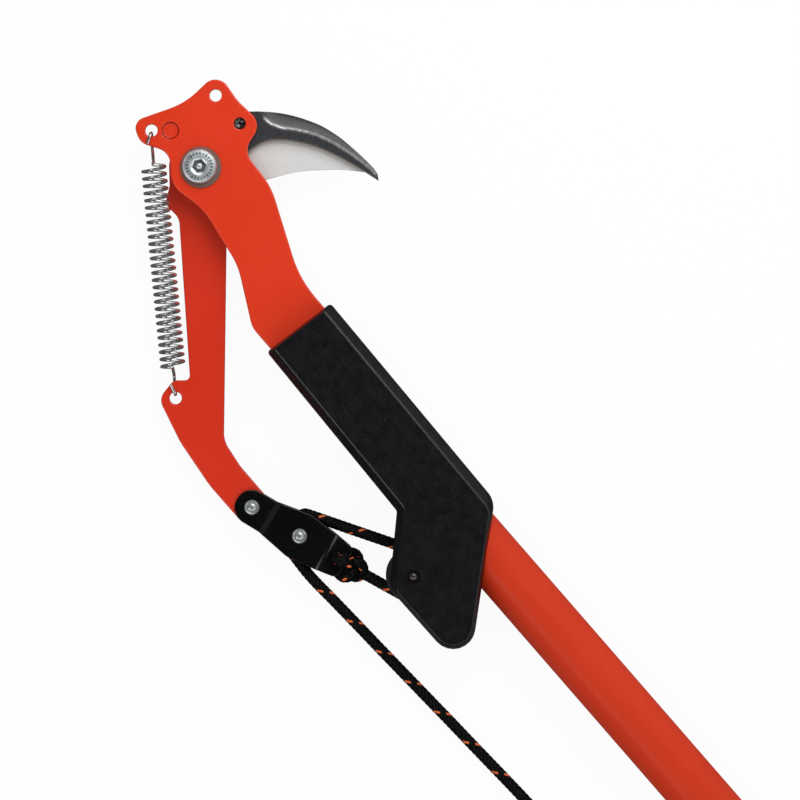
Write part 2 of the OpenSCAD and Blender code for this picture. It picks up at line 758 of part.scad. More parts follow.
// The coil spirals in on the floor, climbs in half a turn and spirals out again on top
function coil_point(k) =
    let (t = k / 24, from_mid = t - coil_loops / 2, r = coil_r + rope_pitch * abs(from_mid))
    let (climb = max(0, min(1, 0.5 + 2 * from_mid)), a = -90 - 360 * t)
    [coil_mid[0] + r * cos(a), coil_mid[1] + r * sin(a), coil_z + coil_rise * climb];
coil_path = concat(
    [[coil_start_at[0] + rope_d, coil_start_at[1], coil_z]],
    [for (k = [0:24 * coil_loops]) coil_point(k)],
    [[coil_start_at[0] - rope_d, coil_start_at[1], coil_z + coil_rise]]
);

module anchor_knot() {
    color("black") at_head() on_bracket() difference() {
        union() {
            translate([knot_x, 0, 0]) sphere(r = knot_r);
            disc([strap_eye, 0], rope_r, -knot_eye, knot_eye);
        }
        for (m = [0, 1]) mirror([0, 0, m]) difference() {
            strap_sheet(strap_t + 2 * groove_gap, groove_gap);
            disc([strap_eye, 0], strap_eye_r, -knot_r, 2 * knot_r);
        }
    }
}

module rope_fall_upper() {
    low = at_rope(on_turn(sleeve_axle_at, fall_angle));
    high = at_rope(on_turn(bracket_axle_at, fall_angle));
    color("black") at_head() rod(low, high, rope_r);
}

lower_angle = touch(knot_at, sleeve_axle_at, 1);
lower_end = on_turn(sleeve_axle_at, lower_angle);
module rope_fall_lower() {
    high = knot_at + (knot_r + groove_gap) * unit(lower_end - knot_at);
    color("black") at_head() rod(at_rope(high), at_rope(lower_end), rope_r);
}

// A rope's turn round a pulley, from one angle to another
module wrap(centre, from, to) {
    translate(at_rope(centre)) rotate([0, 0, from]) rotate_extrude(angle = to - from)
        translate([rope_turn_r, 0]) circle(r = rope_r);
}

module rope_wrap_sleeve() {
    color("black") at_head() wrap(sleeve_axle_at, lower_angle, 360 + fall_angle);
}

tail_angle = touch(flat(tail_route[0]), bracket_axle_at, -1);
module rope_wrap_bracket() {
    color("black") at_head() wrap(bracket_axle_at, fall_angle, tail_angle);
}

module rope_tail() {
    start = at_rope(on_turn(bracket_axle_at, tail_angle) + [-groove_gap, 0]);
    color("black") at_head() tube(concat([start], tail_route), rope_r, 8);
}

module rope_coil() {
    echo(coil_self_gap = self_gap(coil_path, rope_r, 12));
    color("black") at_head() tube(coil_path, rope_r, 6);
}

// Flat band round the bundle of loops, on the side away from the pole
tie_w = 10;
tie_t = 0.7;
tie_gap = 0.3;
// How much the innermost loop curves in under the band's width
tie_dip = tie_w * tie_w / (8 * coil_r) + rope_pitch * tie_w / (4 * PI * coil_r);
module coil_tie() {
    low = coil_mid[1] + coil_r + rope_pitch / 2 - rope_r - tie_gap - tie_dip;
    wide = rope_pitch * (coil_loops / 2 - 1) + rope_d + 2 * tie_gap + tie_dip;
    base = coil_z - rope_r - tie_gap;
    high = coil_rise + rope_d + 2 * tie_gap;
    color("black") at_head() difference() {
        translate([coil_mid[0] - tie_w / 2, low - tie_t, base - tie_t])
            cube([tie_w, wide + 2 * tie_t, high + 2 * tie_t]);
        translate([coil_mid[0] - tie_w, low, base]) cube([2 * tie_w, wide, high]);
    }
}

end_knot_rise = 3.4;
module rope_end_knot() {
    x = coil_start_at[0] - rope_d - end_knot_r + cut;
    z = coil_z + coil_rise + end_knot_rise;
    color("black") at_head() translate([x, coil_start_at[1], z]) sphere(r = end_knot_r);
}

pole();
pole_plug();
head_plate();
hook();
hook_pin();
pivot_bolt();
pivot_ring();
pivot_bush();
pivot_washer();
pivot_nut();
blade();
blade_rivets();
lever();
return_spring();
sleeve_front();
sleeve_back();
sleeve_screws();
sleeve_pulley();
sleeve_pulley_axle();
tang_bolts();
tang_nuts();
tang_spacers();
bracket_front();
bracket_back();
lever_rivet();
bracket_pulley();
bracket_pulley_rivet();
anchor_knot();
rope_fall_upper();
rope_fall_lower();
rope_wrap_sleeve();
rope_wrap_bracket();
rope_tail();
rope_coil();
coil_tie();
rope_end_knot();
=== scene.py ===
import json
import math
import bmesh
import bpy
import numpy as np
from mathutils import Matrix, Vector
from mathutils.geometry import delaunay_2d_cdt


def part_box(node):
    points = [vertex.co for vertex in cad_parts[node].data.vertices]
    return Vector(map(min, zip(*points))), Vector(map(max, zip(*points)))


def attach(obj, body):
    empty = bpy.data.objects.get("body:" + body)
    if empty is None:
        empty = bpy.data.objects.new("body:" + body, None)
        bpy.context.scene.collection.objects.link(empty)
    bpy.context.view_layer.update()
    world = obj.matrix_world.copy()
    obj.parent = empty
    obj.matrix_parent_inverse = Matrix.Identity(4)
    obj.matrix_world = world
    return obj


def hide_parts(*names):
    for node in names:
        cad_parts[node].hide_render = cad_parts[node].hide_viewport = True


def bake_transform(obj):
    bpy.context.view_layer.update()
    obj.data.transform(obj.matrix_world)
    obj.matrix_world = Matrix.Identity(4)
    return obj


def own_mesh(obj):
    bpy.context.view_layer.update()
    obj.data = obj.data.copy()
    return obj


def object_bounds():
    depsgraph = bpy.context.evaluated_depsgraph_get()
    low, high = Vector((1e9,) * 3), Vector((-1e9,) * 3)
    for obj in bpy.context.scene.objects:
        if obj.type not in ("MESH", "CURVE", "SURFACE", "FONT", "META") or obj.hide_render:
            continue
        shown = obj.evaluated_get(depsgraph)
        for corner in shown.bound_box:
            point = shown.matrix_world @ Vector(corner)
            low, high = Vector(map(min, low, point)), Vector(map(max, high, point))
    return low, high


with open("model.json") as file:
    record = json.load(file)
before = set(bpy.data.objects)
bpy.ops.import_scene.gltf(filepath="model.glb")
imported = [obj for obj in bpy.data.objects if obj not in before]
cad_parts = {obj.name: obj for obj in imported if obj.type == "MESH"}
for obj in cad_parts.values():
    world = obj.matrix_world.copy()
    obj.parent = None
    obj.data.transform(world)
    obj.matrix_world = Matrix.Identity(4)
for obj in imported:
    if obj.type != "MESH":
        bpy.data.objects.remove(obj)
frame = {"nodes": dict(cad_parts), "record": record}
cadBounds = [list(corner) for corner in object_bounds()]
scene = bpy.context.scene
record = frame["record"]
bodyOf = {node: body for body, nodes in record["behaviour"]["bodies"].items() for node in nodes}
slotOf = {part["node"]: part["material_slot"] for part in record["subparts"]}
pivot = np.array([1813.0, -18.3, 0.0])  # the pivot bolt's axis, mm from the pole's butt
print("frame loaded:", len(frame["nodes"]), "nodes")


def inFrame(points):  # mm from the pivot -> metres in the frame
    return (np.atleast_2d(np.array(points, float)) + pivot) / 1000


def spot(point):  # one such point, as plain numbers
    return tuple(float(k) for k in inFrame(point)[0])


# camera, straight above the tool as it lies on its back

view = {"middle": (-159.7, 1.0), "width": 0.416, "lens": 200, "sensor": 36, "up": (0.7547, -0.6561), "far": 50}


def makeCamera(v):
    camera = bpy.data.objects.new("camera", bpy.data.cameras.new("camera"))
    scene.collection.objects.link(camera)
    camera.data.lens, camera.data.sensor_width = v["lens"], v["sensor"]
    camera.data.clip_end = v["far"]
    up = Vector((*v["up"], 0)).normalized()
    right = up.cross(Vector((0, 0, 1)))
    x, y, _ = spot((*v["middle"], 0))
    height = v["width"] * v["lens"] / v["sensor"]
    camera.matrix_world = Matrix((
        (right.x, up.x, 0, x), (right.y, up.y, 0, y), (0, 0, 1, height), (0, 0, 0, 1)))
    scene.camera = camera


makeCamera(view)
print("camera set")


# shader maths: a wire is a socket, and an expression on wires adds Math nodes

class Wire:
    def __init__(self, nodes, socket):
        self.nodes, self.socket = nodes, socket

    def maths(self, operation, *others):
        return self.nodes.maths(operation, self, *others)

    def __add__(self, other): return self.maths("ADD", other)
    def __radd__(self, other): return self.maths("ADD", other)
    def __sub__(self, other): return self.maths("SUBTRACT", other)
    def __rsub__(self, other): return self.nodes.maths("SUBTRACT", other, self)
    def __mul__(self, other): return self.maths("MULTIPLY", other)
    def __rmul__(self, other): return self.maths("MULTIPLY", other)
    def __pow__(self, other): return self.maths("POWER", other)
    def __lt__(self, other): return self.maths("LESS_THAN", other)
    def __mod__(self, other): return self.maths("FLOORED_MODULO", other)
    def floor(self): return self.maths("FLOOR")
    def part(self): return self.maths("FRACT")
    def size(self): return self.maths("ABSOLUTE")


class Nodes:  # a shader tree, and the one way to add a node to it
    def __init__(self, tree):
        self.tree = tree

    def add(self, kind, settings=None, inputs=None, out=0):
        node = self.tree.nodes.new(kind)
        for key, value in (settings or {}).items():
            setattr(node, key, value)
        for key, value in (inputs or {}).items():
            if isinstance(value, Wire):
                self.tree.links.new(value.socket, node.inputs[key])
            else:
                node.inputs[key].default_value = value
        return Wire(self, node.outputs[out])

    def maths(self, operation, *values):
        return self.add("ShaderNodeMath", {"operation": operation}, dict(enumerate(values)))

    def outs(self, wire):  # every output of the node that a wire comes from
        return {socket.name: Wire(self, socket) for socket in wire.socket.node.outputs}

    def rays(self): return self.outs(self.add("ShaderNodeLightPath"))


class Paint(Nodes):  # a material with a Principled shader
    def __init__(self, name, **shader):
        self.material = bpy.data.materials.new(name)
        self.material.use_nodes = True
        super().__init__(self.material.node_tree)
        self.shader = next(n for n in self.tree.nodes if n.type == "BSDF_PRINCIPLED")
        for key, value in shader.items():
            self.shader.inputs[key.replace("_", " ")].default_value = value

    def place(self): return self.add("ShaderNodeTexCoord", out="Object")
    def uv(self): return self.add("ShaderNodeTexCoord", out="UV")
    def axes(self, wire): return self.outs(self.add("ShaderNodeSeparateXYZ", None, {0: wire})).values()

    def mapped(self, wire, scale, turn=(0, 0, 0)):
        return self.add("ShaderNodeMapping", None, {"Vector": wire, "Scale": scale, "Rotation": turn})

    def noise(self, wire, scale, detail=2.0, rough=0.5):
        return self.add("ShaderNodeTexNoise", None, {
            "Vector": wire, "Scale": scale, "Detail": detail, "Roughness": rough})

    def mark(self, name):  # a number stored on the mesh's points
        return self.add("ShaderNodeAttribute", {"attribute_name": name}, out="Fac")

    def blend(self, share, a, b):
        rgba = [(*c, 1) if isinstance(c, tuple) and len(c) == 3 else c for c in (a, b)]
        return self.add("ShaderNodeMix", {"data_type": "RGBA"}, {0: share, 6: rgba[0], 7: rgba[1]}, 2)

    def feed(self, **sockets):
        for key, wire in sockets.items():
            self.tree.links.new(wire.socket, self.shader.inputs[key.replace("_", " ")])
        return self

    def bump(self, height, strength, depth):
        wire = self.add("ShaderNodeBump", None, {"Strength": strength, "Distance": depth, "Height": height})
        return self.feed(Normal=wire)


# rope: a black braid of 16 strands with an orange tracer

rope = {"d": 6.0, "pitch": 22.0, "strands": 8, "crown": 3.6, "relief": 0.42, "turn": 12.0, "z": -9.6, "sink": 3.2,
        "sides": 32, "step": 0.5, "coilStep": 1.3, "turnStep": 0.6,
        "gap": (0.0003, 0.0003, 0.0004), "black": (0.017, 0.017, 0.018),
        "tracer": [(0.5, 0.08, 0.022), (0.9, 0.22, 0.075)], "tracerHalf": 0.35}


def braidHeight(u, v):  # u round the rope, v along it in turns; 0 in the gaps, 1 on a strand's crown
    a, b = rope["strands"] * (u + v), rope["strands"] * (u - v)
    over = np.mod(np.floor(a) + np.floor(b), 4)
    fa, fb = a - np.floor(a), b - np.floor(b)
    first = over < 2
    across = np.where(first, fa, fb) - 0.5
    along = np.where(first, (over + fb) / 2, (over - 2 + fa) / 2)
    return np.sqrt(np.maximum(0, 1 - rope["crown"] * across ** 2)) * (0.5 + 0.5 * np.sin(np.pi * along))


def lengthsOf(path):
    return np.concatenate([[0], np.cumsum(np.linalg.norm(np.diff(path, axis=0), axis=1))])


def evenly(path, step):  # the same line with a point every step, in mm
    path = np.array(path, float)
    s = lengthsOf(path)
    t = np.linspace(0, s[-1], max(2, int(round(s[-1] / step)) + 1))
    return np.stack([np.interp(t, s, path[:, k]) for k in range(3)], 1)


def smooth(points, per=12):  # a rounded line through the points
    p = np.array(points, float)
    p = np.vstack([2 * p[0] - p[1], p, 2 * p[-1] - p[-2]])
    t = np.linspace(0, 1, per, endpoint=False)[:, None]
    line = [0.5 * (2 * b + (c - a) * t + (2 * a - 5 * b + 4 * c - d) * t ** 2 + (3 * b - a - 3 * c + d) * t ** 3)
            for a, b, c, d in zip(p, p[1:], p[2:], p[3:])]
    return np.vstack([*line, p[-2:-1]])


def framesOf(path, up):  # two directions across the path at each point, without twist
    t = np.gradient(path, axis=0)
    t /= np.linalg.norm(t, axis=1)[:, None]
    n = np.zeros_like(t)
    v = np.array(up, float)
    for i, d in enumerate(t):
        v = v - (v @ d) * d
        v /= np.linalg.norm(v)
        n[i] = v
    return n, np.cross(t, n)


def linkMesh(name, mesh):
    piece = bpy.data.objects.new(name, mesh)
    scene.collection.objects.link(piece)
    return piece


def newMesh(name, points, faces, edges=()):  # points in mm from the pivot
    mesh = bpy.data.meshes.new(name)
    mesh.from_pydata([tuple(p) for p in inFrame(points)], edges, faces)
    mesh.shade_smooth()
    return mesh


def ropeMesh(name, path, start, up):  # a braided tube round a path; start is how far along the braid it begins
    sides, count = rope["sides"], len(path)
    n, m = framesOf(path, up)
    v = (start + lengthsOf(path)) / rope["pitch"]
    u = np.arange(sides + 1) / sides
    lift = rope["d"] / 2 - rope["relief"] * (1 - braidHeight(u[None, :-1], v[:, None]))
    lift[[0, -1]] = rope["d"] / 2 - rope["relief"]
    angle = 2 * math.pi * u[:-1]
    around = np.cos(angle)[None, :, None] * n[:, None] + np.sin(angle)[None, :, None] * m[:, None]
    rings = path[:, None] + lift[:, :, None] * around
    faces, marks = [], []
    for i in range(count - 1):
        for k in range(sides):
            j = (k + 1) % sides
            faces.append((i * sides + k, i * sides + j, (i + 1) * sides + j, (i + 1) * sides + k))
            marks += [(u[k], v[i]), (u[k + 1], v[i]), (u[k + 1], v[i + 1]), (u[k], v[i + 1])]
    for k in range(sides):  # the two ends
        j, last = (k + 1) % sides, (count - 1) * sides
        faces.append((j, k, count * sides))
        faces.append((last + k, last + j, count * sides + 1))
        marks += [(u[k + 1], v[0]), (u[k], v[0]), (u[k], v[0])]
        marks += [(u[k], v[-1]), (u[k + 1], v[-1]), (u[k], v[-1])]
    mesh = newMesh(name, np.vstack([rings.reshape(-1, 3), path[[0, -1]]]), faces)
    mesh.uv_layers.new(name="braid").data.foreach_set("uv", np.array(marks, np.float32).reshape(-1))
    mesh.update()
    return linkMesh(name, mesh)


# apart: strands from one tracer to the next; fleck: how many crossings it shows for
def braidPaint(name, apart, fleck):
    p = Paint(name, Roughness=0.5, Specular_IOR_Level=0.06)
    u, v, _ = p.axes(p.uv())
    a, b = (u + v) * rope["strands"], (u - v) * rope["strands"]
    over = (a.floor() + b.floor()) % 4
    first = over < 2
    tracer = (over < fleck) * ((a.floor() % apart) < 0.5)
    across = (first * a.part() + (1 - first) * b.part() - 0.5).size()
    crown = 1 - across * across * rope["crown"]
    fibres = p.noise(p.mapped(p.place(), (900, 900, 900)), 1.0, 3.0)
    # painted shade and highlight: the colour runs from near black in the gaps between strands, where shade falls,
    # to lighter on the strands' crowns
    black = p.blend(crown * crown * fibres * fibres * 1.6, rope["gap"], rope["black"])
    p.feed(Base_Color=p.blend(tracer * (across < rope["tracerHalf"]), black, p.blend(fibres, *rope["tracer"])))
    return p.bump(crown * 0.6 + fibres * 0.5, 0.6, 0.0004).material


def flatTurn(centre, first, last):  # the rope's line round a pulley
    n = max(2, int(abs(last - first) * rope["turn"] / rope["turnStep"]))
    angles = np.linspace(first, last, n + 1)
    return np.stack([centre[0] + rope["turn"] * np.cos(angles), centre[1] + rope["turn"] * np.sin(angles),
                     np.full(n + 1, rope["z"])], 1)


def touch(point, centre, side):  # where a straight rope from a point meets its pulley
    d = np.array(point) - centre
    return math.atan2(d[1], d[0]) + side * math.acos(rope["turn"] / np.linalg.norm(d))


def easeIn(share):
    return share * share * (3 - 2 * share)


sleeveAxle = np.array([-233.1, 55.7])
leverRivet = np.array([-151.3, 96.0])
strap = {"turn": 198, "axle": 29, "ropeEnd": 60.7, "knot": 59.9}  # the bracket: degrees, and mm from its rivet
strapTurn = math.radians(strap["turn"])
strapLine = np.array([math.cos(strapTurn), math.sin(strapTurn)])
bracketAxle = leverRivet + strap["axle"] * strapLine
knotAt = leverRivet + strap["ropeEnd"] * strapLine
fallLine = (bracketAxle - sleeveAxle) / np.linalg.norm(bracketAxle - sleeveAxle)
fallTurn = math.atan2(-fallLine[0], fallLine[1])
tailRoute = [
    (-198, 96.7, -9.8), (-216, 95.8, -10.2), (-234, 94.9, -10.8), (-252, 94.1, -11.6), (-270, 93.2, -12.5),
    (-288, 92.3, -13.3), (-306, 91.4, -14), (-324, 90.6, -14.5), (-342, 89.7, -14.8), (-360, 88.9, -15),
    (-378, 88.3, -15), (-390, 88, -15), (-399, 88, -15)]
coil = {"start": (-405, 88), "loops": 10, "r": 19.0, "pitch": 6.5, "z": -15.0, "rise": 6.6, "perLoop": 72}


def coilLine(c):  # spirals in on the floor, climbs in half a turn, spirals out on top
    t = np.arange(c["loops"] * c["perLoop"] + 1) / c["perLoop"]
    fromMid = t - c["loops"] / 2
    r = c["r"] + c["pitch"] * np.abs(fromMid)
    climb = easeIn(np.clip(0.5 + 2 * fromMid, 0, 1))
    a = -math.pi / 2 - 2 * math.pi * t
    middle = np.array(c["start"]) + [0, c["r"] + c["pitch"] * c["loops"] / 2]
    line = np.stack([middle[0] + r * np.cos(a), middle[1] + r * np.sin(a), c["z"] + c["rise"] * climb], 1)
    end = [[c["start"][0] - rope["d"], c["start"][1], c["z"] + c["rise"]]]
    return np.vstack([line, end])


lowerTurn = touch(knotAt, sleeveAxle, 1)
lowerEnd = sleeveAxle + rope["turn"] * np.array([math.cos(lowerTurn), math.sin(lowerTurn)])
tailTurn = touch(tailRoute[0][:2], bracketAxle, -1)
sleeveWrap = flatTurn(sleeveAxle, lowerTurn, fallTurn + 2 * math.pi)
bracketWrap = flatTurn(bracketAxle, fallTurn, tailTurn)
lowerLine = evenly([[*knotAt, rope["z"]], [*lowerEnd, rope["z"]]], rope["step"])
upperLine = evenly([sleeveWrap[-1], bracketWrap[0]], rope["step"])

# on the bracket's pulley the rope is pulled deep into the groove, inside the plates' outline
sink = rope["sink"] * easeIn(np.clip(np.linspace(0, 4, len(bracketWrap)), 0, 1))
fromAxle = bracketWrap[:, :2] - bracketAxle
sunk = np.column_stack([bracketAxle + fromAxle * (1 - sink / rope["turn"])[:, None], bracketWrap[:, 2]])
tailLine = evenly(smooth([sunk[-1], *tailRoute]), rope["step"])
sunk = evenly(np.vstack([bracketWrap[:1] - [*(2 * fallLine), 0], sunk, tailLine[4:5]]), rope["step"])
windLine = evenly(coilLine(coil), rope["coilStep"])
cordLine = np.vstack([tailLine[:-1], evenly([tailLine[-1], windLine[0]], rope["coilStep"])[:-1], windLine])

ropePaint = braidPaint("ropeBraid", 8, 2)
knotPaint = braidPaint("knotBraid", 4, 1)
tracerShift = {"upper": 6.6, "cord": 4.6}  # mm along the braid, so that the flecks show in their places
runs, along = {}, 0.0
for run, line in (("lower", lowerLine), ("sleeve", sleeveWrap), ("upper", upperLine),
                  ("bracket", bracketWrap), ("cord", cordLine)):
    runs[run] = along + tracerShift.get(run, 0)
    along += lengthsOf(line)[-1]


def ropePiece(name, path, start, *nodes, paint=ropePaint, up=(0, 0, 1)):
    piece = ropeMesh(name, path, start, up)
    piece.data.materials.append(paint)
    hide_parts(*nodes)
    return piece


fallLower = ropePiece("ropeFallLower", lowerLine, runs["lower"], "rope_fall_lower")
fallUpper = ropePiece("ropeFallUpper", upperLine, runs["upper"], "rope_fall_upper")
wrapSleeve = ropePiece("ropeOnSleevePulley", sleeveWrap, runs["sleeve"], "rope_wrap_sleeve")
wrapBracket = ropePiece("ropeOnBracketPulley", sunk, runs["bracket"], "rope_wrap_bracket")
freeRope = ropePiece("freeRope", cordLine, runs["cord"], "rope_tail", "rope_coil")
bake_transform(fallLower)
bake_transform(fallUpper)
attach(wrapSleeve, "root")
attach(wrapBracket, "bracket")
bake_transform(freeRope)


# finishes

# the lever's colour is the plate's paint made darker: painted shade, as the lever lies lower, beside and under
# the plate
orange = {"plate": (0.69, 0.0372, 0.0082), "lever": (0.63, 0.0285, 0.0075), "pole": (0.575, 0.037, 0.0105)}
# at and r place the stud; line is the width, mm, of the painted shade ring drawn round it in the plate's paint
stud = {"at": (24.0, -0.9), "r": 4.1, "line": 0.38}
pinAt = (3.2, -30.4)


def shaded(shade, share):
    return tuple(share * c for c in shade)


def orangePaint(name, shade, rough=0.14, shine=0.34, groove=None):
    p = Paint(name, Specular_IOR_Level=shine, Coat_Weight=shine, Coat_Roughness=0.08)
    at = p.place()
    tone = p.noise(at, 18.0, 3.0)
    peel = p.noise(at, 900.0, 2.0)
    specks = p.noise(at, 3500.0, 1.0)
    base = p.blend(tone * 0.8 + specks * 0.2, shaded(shade, 0.9), shaded(shade, 1.08))
    if groove:  # painted shade: a darker thin ring round the stud, where the edge of its recess lies in shade
        x, y, _ = p.axes(at)
        midX, midY, _ = spot((*groove["at"], 0))
        off = (((x - midX) ** 2 + (y - midY) ** 2) ** 0.5 - groove["r"] / 1000).size()
        base = p.blend((off < groove["line"] / 1000) * (tone * 0.5 + 0.4), base, shaded(shade, 0.4))
    p.feed(Base_Color=base, Roughness=tone * 0.1 + specks * 0.08 + rough)
    return p.bump(peel, 0.12, 0.0003).material


sleeve = {"base": (0.0004, 0.0006, 0.0013), "worn": (0.0058, 0.0066, 0.0088)}


def sleevePlastic(o):
    p = Paint("sleevePlastic", Specular_IOR_Level=0.5)
    at = p.place()
    grain = p.noise(at, 1600.0, 3.0, 0.6)
    cloud = p.noise(at, 170.0, 5.0, 0.6)
    p.feed(Base_Color=p.blend(grain * 0.8 + cloud * 1.6 - 0.7, o["base"], o["worn"]),
           Roughness=cloud * 0.08 + grain * 0.08 + 0.22)
    return p.bump(grain, 0.22, 0.0003).material


def darkPaint(name, low, high, rough, scale=1600.0, strength=0.3, shine=0.4):
    p = Paint(name, Specular_IOR_Level=shine)
    at = p.place()
    grain = p.noise(at, scale, 3.0, 0.6)
    cloud = p.noise(at, 60.0, 4.0)
    p.feed(Base_Color=p.blend(grain * 0.4 + cloud * 0.6, low, high),
           Roughness=grain * 0.15 + cloud * 0.1 + rough)
    return p.bump(grain, strength, 0.0002).material


def platedSteel(name, low, high, rough, scale=2200.0, patchy=1.0, metal=0.78):
    p = Paint(name, Metallic=metal, Specular_IOR_Level=0.7)
    at = p.place()
    grain = p.noise(at, scale, 2.0)
    cloud = p.noise(at, 220.0, 3.0)
    p.feed(Base_Color=p.blend((grain + cloud) * (0.5 * patchy) + 0.5 * (1 - patchy), low, high),
           Roughness=cloud * 0.2 + grain * 0.15 + rough)
    return p.bump(grain, 0.2, 0.00015).material


def groundSteel():  # fine grinding lines across the blade
    p = Paint("groundSteel", Metallic=0.3, Specular_IOR_Level=0.6)
    lines = p.noise(p.mapped(p.place(), (60, 2600, 2600), (0, 0, math.radians(35))), 1.0, 4.0, 0.6)
    cloud = p.noise(p.place(), 90.0, 3.0)
    p.feed(Base_Color=p.blend(lines * 0.6 + cloud * 0.4, (0.66, 0.66, 0.65), (0.86, 0.855, 0.84)),
           Roughness=lines * 0.2 + 0.3)
    return p.bump(lines, 0.2, 0.00008).material


def forgedSteel():  # dark oxide, brown along the inner edge; the ridge is lightened as rubbed wear and painted highlight, and a painted highlight fades over the hollow above it
    p = Paint("forgedSteel", Specular_IOR_Level=0.25)
    ridge, rim = p.mark("ridge"), p.mark("rim")
    at = p.place()
    grain = p.noise(at, 1500.0, 3.0, 0.65)
    pits = p.noise(at, 420.0, 3.0, 0.6)
    skin = p.blend(grain * 0.5 + pits * 0.5, (0.016, 0.0165, 0.019), (0.062, 0.064, 0.07))
    # the ridge mark lightens the skin: rubbed wear and painted highlight
    rubbed = p.blend(ridge * (pits * 0.8 + 0.45), skin, (0.62, 0.62, 0.62))
    p.feed(Base_Color=p.blend(rim * (grain * 0.6 + 0.4), rubbed, (0.33, 0.27, 0.2)),
           Roughness=grain * 0.12 + pits * 0.1 + 0.16, Metallic=ridge * 0.7)
    return p.bump(grain * 0.6 + pits * 0.4, 0.3, 0.0003).material


finishes = {  # one for each material slot
    "orange_paint": orangePaint("orangePaint", orange["plate"], groove=stud),
    "black_plastic": sleevePlastic(sleeve),
    "plug_plastic": darkPaint("plugPlastic", (0.012, 0.012, 0.013), (0.022, 0.022, 0.023), 0.45),
    "forged_black": forgedSteel(),
    "blade_steel": groundSteel(),
    "zinc": platedSteel("zincPlate", (0.44, 0.49, 0.515), (0.88, 0.96, 0.98), 0.2, 1600.0, patchy=2.0),
    "spring_zinc": platedSteel("springZinc", (0.2, 0.215, 0.22), (0.97, 0.98, 0.98), -0.09,
                               patchy=2.0, metal=0.92),
    "dark_ring": darkPaint("darkRing", (0.085, 0.044, 0.034), (0.23, 0.135, 0.11), 0.35),
    "bronze": platedSteel("sinteredBronze", (0.3, 0.19, 0.07), (0.5, 0.34, 0.15), 0.3),
    "dark_steel": darkPaint("darkSteel", (0.004, 0.0035, 0.0035), (0.05, 0.038, 0.034), 0.1, 700.0, shine=0.9),
    "strap_black": darkPaint("strapBlack", (0.0008, 0.0009, 0.001), (0.0022, 0.0024, 0.0026), 0.08, 1500.0,
                             strength=0.06, shine=0.6),
    "pulley_plastic": darkPaint("pulleyNylon", (0.012, 0.012, 0.013), (0.02, 0.02, 0.021), 0.4),
    "rope": ropePaint,
    "tie_web": darkPaint("tieWeb", (0.008, 0.008, 0.009), (0.02, 0.02, 0.021), 0.7, 3000.0, strength=0.6),
}
rivetSteel = platedSteel("rivetZinc", (0.26, 0.285, 0.285), (0.7, 0.74, 0.73), 0.14)
ownFinish = {  # nodes that differ from their slot
    "lever_rivet": rivetSteel,
    "bracket_pulley_rivet": rivetSteel,
    "hook_pin": darkPaint("pinSteel", (0.0012, 0.0011, 0.0011), (0.009, 0.0075, 0.007), 0.03, 700.0,
                          strength=0.03, shine=0.9),
    # the lever: a darker copy of the plate's paint, as painted shade
    "lever": orangePaint("leverPaint", orange["lever"]),
    "pole": orangePaint("polePaint", orange["pole"], 0.36, 0.08),
}
for nodeName, solid in frame["nodes"].items():
    solid.data.materials.clear()
    solid.data.materials.append(finishes[slotOf[nodeName]])
print("finishes made:", len(finishes) + len(ownFinish))


# pieces that stand for CAD nodes

def standIn(piece, node):
    piece.data.materials.clear()
    piece.data.materials.append(ownFinish.get(node) or finishes[slotOf[node]])
    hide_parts(node)
    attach(piece, bodyOf[node])
    return piece


def applied(work):  # the evaluated result as a plain mesh, without its modifiers
    made = bpy.data.meshes.new_from_object(work.evaluated_get(bpy.context.evaluated_depsgraph_get()))
    bpy.data.objects.remove(work)
    return made


def pieceName(node):
    return "".join(w.capitalize() if i else w for i, w in enumerate(node.split("_")))


edges = {  # how far each node's edges are broken, mm, and what share of it the squarest ones get
    "head_plate": (0.8, 1), "lever": (0.8, 1), "bracket_front": (0.45, 1), "bracket_back": (0.35, 1),
    "sleeve_front": (0.9, 0.02), "sleeve_back": (0.9, 0.02), "pivot_nut": (0.3, 1), "pivot_washer": (0.2, 1),
    "blade": (0.08, 1), "sleeve_pulley": (0.2, 1), "bracket_pulley": (0.2, 1), "sleeve_screws": (0.15, 1),
    "tang_bolts": (0.2, 1)}
edgeTurn = {"least": 25, "square": 85, "flat": 0.6}  # degrees between two faces


def rounded(node, width, keen):  # a copy of a node's solid with its edges broken
    mesh = frame["nodes"][node].data.copy()
    bm = bmesh.new()
    bm.from_mesh(mesh)
    bmesh.ops.remove_doubles(bm, verts=bm.verts, dist=2e-6)
    bmesh.ops.dissolve_limit(bm, angle_limit=math.radians(edgeTurn["flat"]), verts=bm.verts, edges=bm.edges)
    share = bm.edges.layers.float.new("bevel_weight_edge")
    for edge in bm.edges:
        turn = math.degrees(edge.calc_face_angle(0))
        edge[share] = 0 if turn < edgeTurn["least"] else keen if turn > edgeTurn["square"] else 1
    bm.to_mesh(mesh)
    bm.free()
    mesh.shade_smooth()
    work = linkMesh(pieceName(node) + "Work", mesh)
    bevel = work.modifiers.new("edges", "BEVEL")
    bevel.width, bevel.segments = width / 1000, 3
    bevel.limit_method, bevel.use_clamp_overlap = "WEIGHT", False
    flatten = work.modifiers.new("flat faces", "WEIGHTED_NORMAL")
    flatten.weight, flatten.keep_sharp = 100, False
    return standIn(linkMesh(pieceName(node), applied(work)), node)


for nodeName, (width, keen) in edges.items():
    rounded(nodeName, width, keen)
print("edges rounded:", len(edges))


